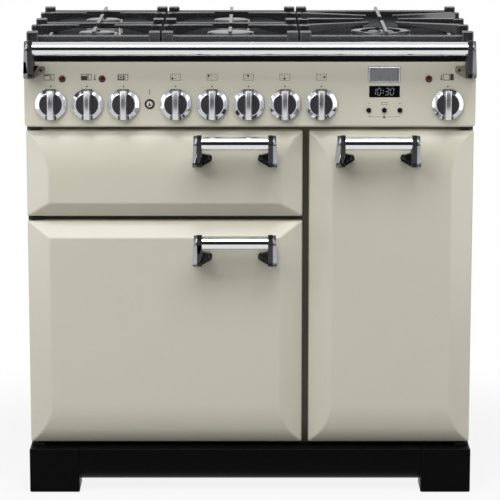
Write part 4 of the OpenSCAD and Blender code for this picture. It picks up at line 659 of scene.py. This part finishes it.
def pan_support(name, x, w, cups, wok=False):
    """Casts one support: side rails, legs, cross bars, lugs, fingers and the middle bars."""
    mesh, thin = bmesh.new(), bmesh.new()
    middle = x + w / 2
    for side_x in (x + RAIL_IN, x + w - RAIL_IN):
        block(mesh, (side_x - 5, BAR_Y[0] + 1, RAIL_Z), (side_x + 5, BAR_Y[4] - 1, RAIL_Z + 12))
        for y in [BAR_Y[i] for i in (0, 2, 4)]:
            block(mesh, (side_x - 4.9, y - 4.9, TRAY_Z), (side_x + 4.9, y + 4.9, BAR_TOP - 1))
        for y in cups:
            block(mesh, (side_x - 4.8, y - 4.8, RAIL_Z + 1), (side_x + 4.8, y + 4.8, BAR_TOP - 1))
    for i, y in enumerate(BAR_Y):
        half = 8.5 if i % 2 == 0 else 6.8
        for low, high in ((x, x + LUG), (x + w - LUG, x + w)):
            block(mesh, (low, y - half, TOP - 26), (high, y + half, TOP))
        if i % 2 == 0:
            spans = ((x + 2, x + w - 2),)
            if wok and i == 2:
                spans = ((x + 2, middle - HALF_GAP), (middle + HALF_GAP, x + w - 2))
            for low, high in spans:
                block(mesh, (low, y - 5, BAR_TOP - 13), (high, y + 5, BAR_TOP))
    for y in cups:
        for side in (0, 1):
            finger(thin, x, w, side, y, w / 2 - HALF_GAP)
    if wok:
        for i in (1, 3):
            for side in (0, 1):
                skew = (BAR_Y[2] - BAR_Y[i]) * WOK_SKEW
                finger(thin, x, w, side, BAR_Y[i], w / 2 - WOK_REACH * WOK_SKEW, skew)
    stops = [BAR_Y[0]] + [y + s * HALF_GAP for y in cups for s in (-1, 1)] + [BAR_Y[4]]
    for low, high in zip(stops[::2], stops[1::2]):
        block(thin, (middle - 3.5, low, TOP - 10), (middle + 3.5, high, TOP - 0.2))
    finish_piece(name + "_casting", mesh, "cast_iron", name, [name], edge=3.0, crease=30, steps=4)
    finish_piece(name + "_fingers", thin, "cast_iron", name, edge=1.4, crease=30, steps=3)


pan_support("left_pan_support", -448, 268, (BAR_Y[1], BAR_Y[3]))
pan_support("centre_pan_support", -177, 274, (BAR_Y[1], BAR_Y[3]))
pan_support("right_pan_support", 100, 348, (BAR_Y[2],), wok=True)
print("supports stand", round(TOP - TRAY_Z, 1), "mm high")

# %% [markdown]
# ## Burner caps
# A cap is a pressed disc with a rolled edge, glazed black. Its slightly crowned top sheds spills
# and gathers the ceiling's light in one soft oval. The four small burners stand 12 mm higher than
# the wok burner, whose ring passes under a cross bar.

# %% Burner caps
CAP_Z, WOK_CAP_Z = 924.0, 912.0
WOK_PLACE = (274, 18.25)
caps = [(-314, -99.75, 36, CAP_Z), (-314, 136.25, 36, CAP_Z), (-40, -99.75, 47, CAP_Z),
        (-40, 136.25, 36, CAP_Z), (*WOK_PLACE, 28, WOK_CAP_Z)]
mesh = bmesh.new()
for x, y, r, z in caps:
    outline = [(0, 0), (r - 1, 0), (r + 0.6, 0.5), (r + 1, 1.4), (r + 0.6, 2.9), (r - 1.5, 4.3),
               (r * 0.8, 5.2), (r * 0.4, 5.8), (0, 6)]
    turned(mesh, outline, Matrix.Translation((x, y, z)), 72)
ring = [(42, 0.4), (42, 4.6), (43.2, 5.6), (46, 6), (58, 6), (61.4, 5.2), (63, 3.2), (63, 1), (62, 0),
        (42.6, 0), (42, 0.4)]
turned(mesh, ring, Matrix.Translation((*WOK_PLACE, WOK_CAP_Z)), 96)
finish_piece("burner_caps_glazed", mesh, "cap_enamel", stands_for=["burner_caps"], crease=50)
print("caps:", len(caps), "and one ring")

# %% [markdown]
# ## The plinth
# The plinth is folded from black enamelled sheet: two square legs and a front that curves under
# between them. A bevel with a radius of 41 mm and many steps makes that curve in one go, and a
# small one rounds the top fold, where a thin line of light runs in the photograph.

# %% Plinth
PLINTH_FRONT, PLINTH_BACK, PLINTH_TOP, PLINTH_LOW, PLINTH_END = -278.75, -207.75, 92.0, 21, 349.5
mesh = bmesh.new()
side = [(PLINTH_FRONT, PLINTH_LOW), (PLINTH_BACK, PLINTH_LOW), (PLINTH_BACK, PLINTH_TOP),
        (PLINTH_FRONT, PLINTH_TOP)]
plate(mesh, [(-PLINTH_END, y, z) for y, z in side], (2 * PLINTH_END, 0, 0))
for height_z, radius, steps in ((PLINTH_LOW, 41, 20), (PLINTH_TOP, 3, 4)):
    fold = [e for e in mesh.edges if all(abs(v.co.y - PLINTH_FRONT) < 0.01 and abs(v.co.z - height_z) < 0.01
                                         for v in e.verts)]
    bmesh.ops.bevel(mesh, geom=fold, offset=radius, segments=steps, affect="EDGES", profile=0.5, material=-1)
legs = bmesh.new()
for low, high in ((-451, -349), (349, 451)):
    block(legs, (low, PLINTH_FRONT, 0.5), (high, PLINTH_BACK, PLINTH_TOP))
finish_piece("plinth_front", mesh, "black_enamel", stands_for=["plinth"], crease=40)
finish_piece("plinth_legs", legs, "black_enamel", edge=3.0, steps=4)
print("plinth height:", PLINTH_TOP, "mm")

# %% [markdown]
# ## Marks on the panel
# Small printed marks stand above the knobs: a pointer, a drawing of the ovens with the one that
# the knob works filled in, or a drawing of the hob with its burner filled in. They are printed
# ink, so each is a sheet a few hundredths of a millimetre thick. Each frame is printed as four
# thin strips.

# %% Panel marks
# Ink: nearly black and dull, so that it never glints like the enamel round it.
make_finish("screen-printed ink", ["ink"], "#2c2b27", "#262521", (0.5, 0.6), 2)
INK_Y, INK_T = FACE_Y - 0.06, 0.05
marks = bmesh.new()


def ink_box(x0, z0, x1, z1):
    """Prints a filled rectangle."""
    block(marks, (x0, INK_Y, z0), (x1, INK_Y + INK_T, z1))


def ink_frame(x0, z0, x1, z1, line=1.1):
    """Prints the outline of a rectangle."""
    for corners in ((x0, z0, x1, z0 + line), (x0, z1 - line, x1, z1), (x0, z0, x0 + line, z1),
                    (x1 - line, z0, x1, z1)):
        ink_box(*corners)


def ink_dot(x, z, radius):
    """Prints a filled dot."""
    rod(marks, (x, INK_Y, z), (x, INK_Y + INK_T, z), radius, sides=20)


def oven_picture(x, z, part):
    """Prints the three compartments, with the one that is meant filled in."""
    ink_frame(x - 10.5, z - 6.5, x + 2.5, z + 6.5)
    ink_frame(x + 3.5, z - 6.5, x + 10.5, z + 6.5)
    if part == "grill":
        ink_box(x - 8.5, z + 2.4, x + 0.5, z + 4.6)
    elif part == "left":
        ink_box(x - 10, z - 6, x + 2, z + 2.5)
    elif part == "function":
        ink_frame(x - 9.4, z - 5.4, x + 1.4, z + 3.4, 1.4)
        ink_dot(x - 4, z - 1, 2.0)
    else:
        ink_box(x + 4, z - 6, x + 10, z + 6)


def hob_picture(x, z, burner):
    """Prints the hob seen from above, with its five burners."""
    ink_frame(x - 10.5, z - 6.5, x + 10.5, z + 6.5, 0.8)
    for i, (u, v) in enumerate(((-6.5, -2.6), (-6.5, 2.6), (-0.8, -2.6), (-0.8, 2.6), (6, 0))):
        ink_dot(x + u, z + v, 2.3 if i == burner else 0.9)


PICTURE_Z, POINTER_Z = 857.0, 839.0
for x, part in ((-400, "grill"), (-326, "left"), (-253, "function"), (395, "right")):
    oven_picture(x, PICTURE_Z, part)
for x, burner in zip((-148, -75.5, -3, 69.5, 142), (0, 1, 3, 2, 4)):
    hob_picture(x, PICTURE_Z, burner)
for x in knobs.values():
    pointer = [(x - 2, INK_Y, POINTER_Z - 2), (x + 2, INK_Y, POINTER_Z - 2), (x, INK_Y, POINTER_Z + 2.2)]
    plate(marks, pointer, (0, INK_T, 0))
for x in (-309, 381):
    ink_box(x - 0.8, 853, x + 0.8, 862)
    ink_dot(x, 852.5, 1.7)
# The ignition button's spark and the clock buttons' signs.
ink_box(-200.6, 822, -199.4, 829)
ink_dot(-200, 831, 1.2)
for x, upright in ((237, False), (299, True)):
    ink_box(x - 2, 804.2, x + 2, 805)
    if upright:
        ink_box(x - 0.4, 802.6, x + 0.4, 806.6)
ink_frame(262, 801.5, 274, 806.5, 0.7)
# A thin bracket under the three buttons joins them to a small padlock for the child lock.
for low, high in ((237, 263), (273, 299)):
    ink_box(low, 777.2, high, 777.8)
for x in (237, 298.4):
    ink_box(x, 777.2, x + 0.6, 779.6)
ink_box(265.6, 774.6, 270.4, 778.2)
ink_frame(266.3, 777.5, 269.7, 781, 0.6)
printed = finish_piece("panel_marks", marks, "panel_enamel")
printed.data.materials[0] = finishes["ink"]
print("marks print", round(INK_T, 2), "mm thick")

# %% [markdown]
# ## Lamps, buttons, clock and plate
# The indicator lamps are dark red domes in a thin black ring. The ignition button sits in a thick
# black ring and has a pale face. The clock is a smoked glass with light grey bars for digits, and
# the place above it holds a plain satin plate.

# %% Small fittings
mesh = bmesh.new()
dark = bmesh.new()
front = Matrix.Rotation(math.radians(90), 4, "X")
for x in (-374, -294.5, 356):
    out = Matrix.Translation((x, FACE_Y, 853.5)) @ front
    turned(mesh, [(6.2, -6), (6.2, 0.6), (5.2, 1.3), (3, 1.55), (0, 1.6)], out, 40)
    turned(dark, [(6.3, 0), (6.3, 0.9), (6.6, 1.1), (7.0, 0.8), (7.1, 0)], out, 40)
finish_piece("lamp_lenses", mesh, "red_lens", stands_for=["indicator_lamps"], crease=60)
out = Matrix.Translation((-200, FACE_Y, 803)) @ front
face = bmesh.new()
turned(face, [(0, 3.0), (5.5, 2.8), (7.2, 2.2), (7.9, 1.2), (7.9, -8)], out, 40)
# The button's face takes the panel's enamel, which is the stone painted paler as painted light.
finish_piece("ignition_face", face, "button_plastic", "ignition_button", ["ignition_button"],
             crease=60).data.materials[0] = finishes["panel_enamel"]
spark = bmesh.new()
arrow = [(-203, 799.8), (-197, 799.8), (-200, 807)]
plate(spark, [(x, FACE_Y - 3.1, z) for x, z in arrow], (0, 0.8, 0))
turned(spark, [(6.1, 2.4), (6.3, 2.9), (7.4, 2.5), (7.95, 1.3), (7.95, 0.6), (6.1, 2.4)], out, 40)
finish_piece("ignition_mark", spark, "button_plastic", "ignition_button")
turned(dark, [(8.2, 0), (8.2, 1.6), (8.6, 2.1), (9.3, 2.0), (9.9, 1.2), (10.1, 0)], out, 48)
finish_piece("bezel_rings", dark, "button_plastic", crease=60)

glass = bmesh.new()
plate(glass, [(237.5, FACE_Y - 0.6, 816.5), (298.5, FACE_Y - 0.6, 816.5), (298.5, FACE_Y - 0.6, 839.5),
              (237.5, FACE_Y - 0.6, 839.5)], (0, 2.6, 0), corner=1.2)
block(glass, (235, FACE_Y + 2.3, 812), (301, FACE_Y + 20, 844))
finish_piece("clock_glass", glass, "clock_glass", stands_for=["clock_window"], edge=0.25)

# Each digit is seven bars; the list says which of them are lit.
BARS = {"0": "abcdef", "1": "bc", "3": "abcdg"}
CLOCK, DIGIT_Y, DIGIT_Z, DIGIT_LEAN = "1030", FACE_Y - 0.66, 828, 0.16
# The bars are a pale blue-grey, as a lit display looks behind smoked glass.
make_finish("lit display bars", ["digits"], "#9ea5a6", "#959c9e", (0.4, 0.5), 3)
digits = bmesh.new()


def bar(points):
    """Adds one bar of a digit, leaning to the right as such displays do."""
    plate(digits, [(x + DIGIT_LEAN * (z - DIGIT_Z), DIGIT_Y, z) for x, z in points], (0, 0.05, 0))


def digit(x, shape):
    """Adds the lit bars of one digit."""
    w, h, t = 6.4, 6.8, 0.9
    flat = {"a": DIGIT_Z + h, "g": DIGIT_Z, "d": DIGIT_Z - h}
    tall = {"f": (x, DIGIT_Z), "b": (x + w, DIGIT_Z), "e": (x, DIGIT_Z - h), "c": (x + w, DIGIT_Z - h)}
    for name in shape:
        if name in flat:
            z = flat[name]
            bar([(x + 0.6, z), (x + 1.2, z + t / 2), (x + w - 1.2, z + t / 2), (x + w - 0.6, z),
                 (x + w - 1.2, z - t / 2), (x + 1.2, z - t / 2)])
        else:
            u, z = tall[name]
            bar([(u, z + 0.6), (u - t / 2, z + 1.2), (u - t / 2, z + h - 1.2), (u, z + h - 0.6),
                 (u + t / 2, z + h - 1.2), (u + t / 2, z + 1.2)])


for x, number in zip((244, 254, 270, 280), CLOCK):
    digit(x, BARS[number])
for z in (DIGIT_Z - 2.5, DIGIT_Z + 2.5):
    bar([(264.6, z - 0.8), (266.2, z - 0.8), (266.2, z + 0.8), (264.6, z + 0.8)])
lit = finish_piece("clock_digits", digits, "clock_glass")
lit.data.materials[0] = finishes["digits"]

plaque = bmesh.new()
rim = [(234.5, 846), (300.5, 846), (300.5, 879), (234.5, 879)]
plate(plaque, [(x, FACE_Y - 0.9, z) for x, z in rim], (0, 0.9, 0), corner=3)
front_face = [f for f in plaque.faces if f.normal.y < -0.9 or f.calc_center_median().y < FACE_Y - 0.8]
bmesh.ops.inset_region(plaque, faces=front_face, thickness=2.2, depth=0.0)
bmesh.ops.inset_region(plaque, faces=front_face, thickness=0.5, depth=-0.5)
finish_piece("plain_plate", plaque, "chrome_plate", edge=0.25).data.materials[0] = finishes["grip"]
print("digits lit:", len(CLOCK))

# %% [markdown]
# ## Panel, hob and body with soft edges
# The folded and pressed sheets that are left keep the solids' exact shape. A copy of each one has
# its triangles joined to whole faces and gets the small radius of its fold.

# %% Softened sheets
for node, edge in (("hob_tray", 0.6), ("rear_vent", 0.5), ("side_panels", 0.5)):
    softened(node, edge)
# The panel throws no shadow, so the doors' top edges stay as bright as the wrap-around light of the
# photograph leaves them.
softened("control_panel", 0.7).visible_shadow = False
print("softened copies made")
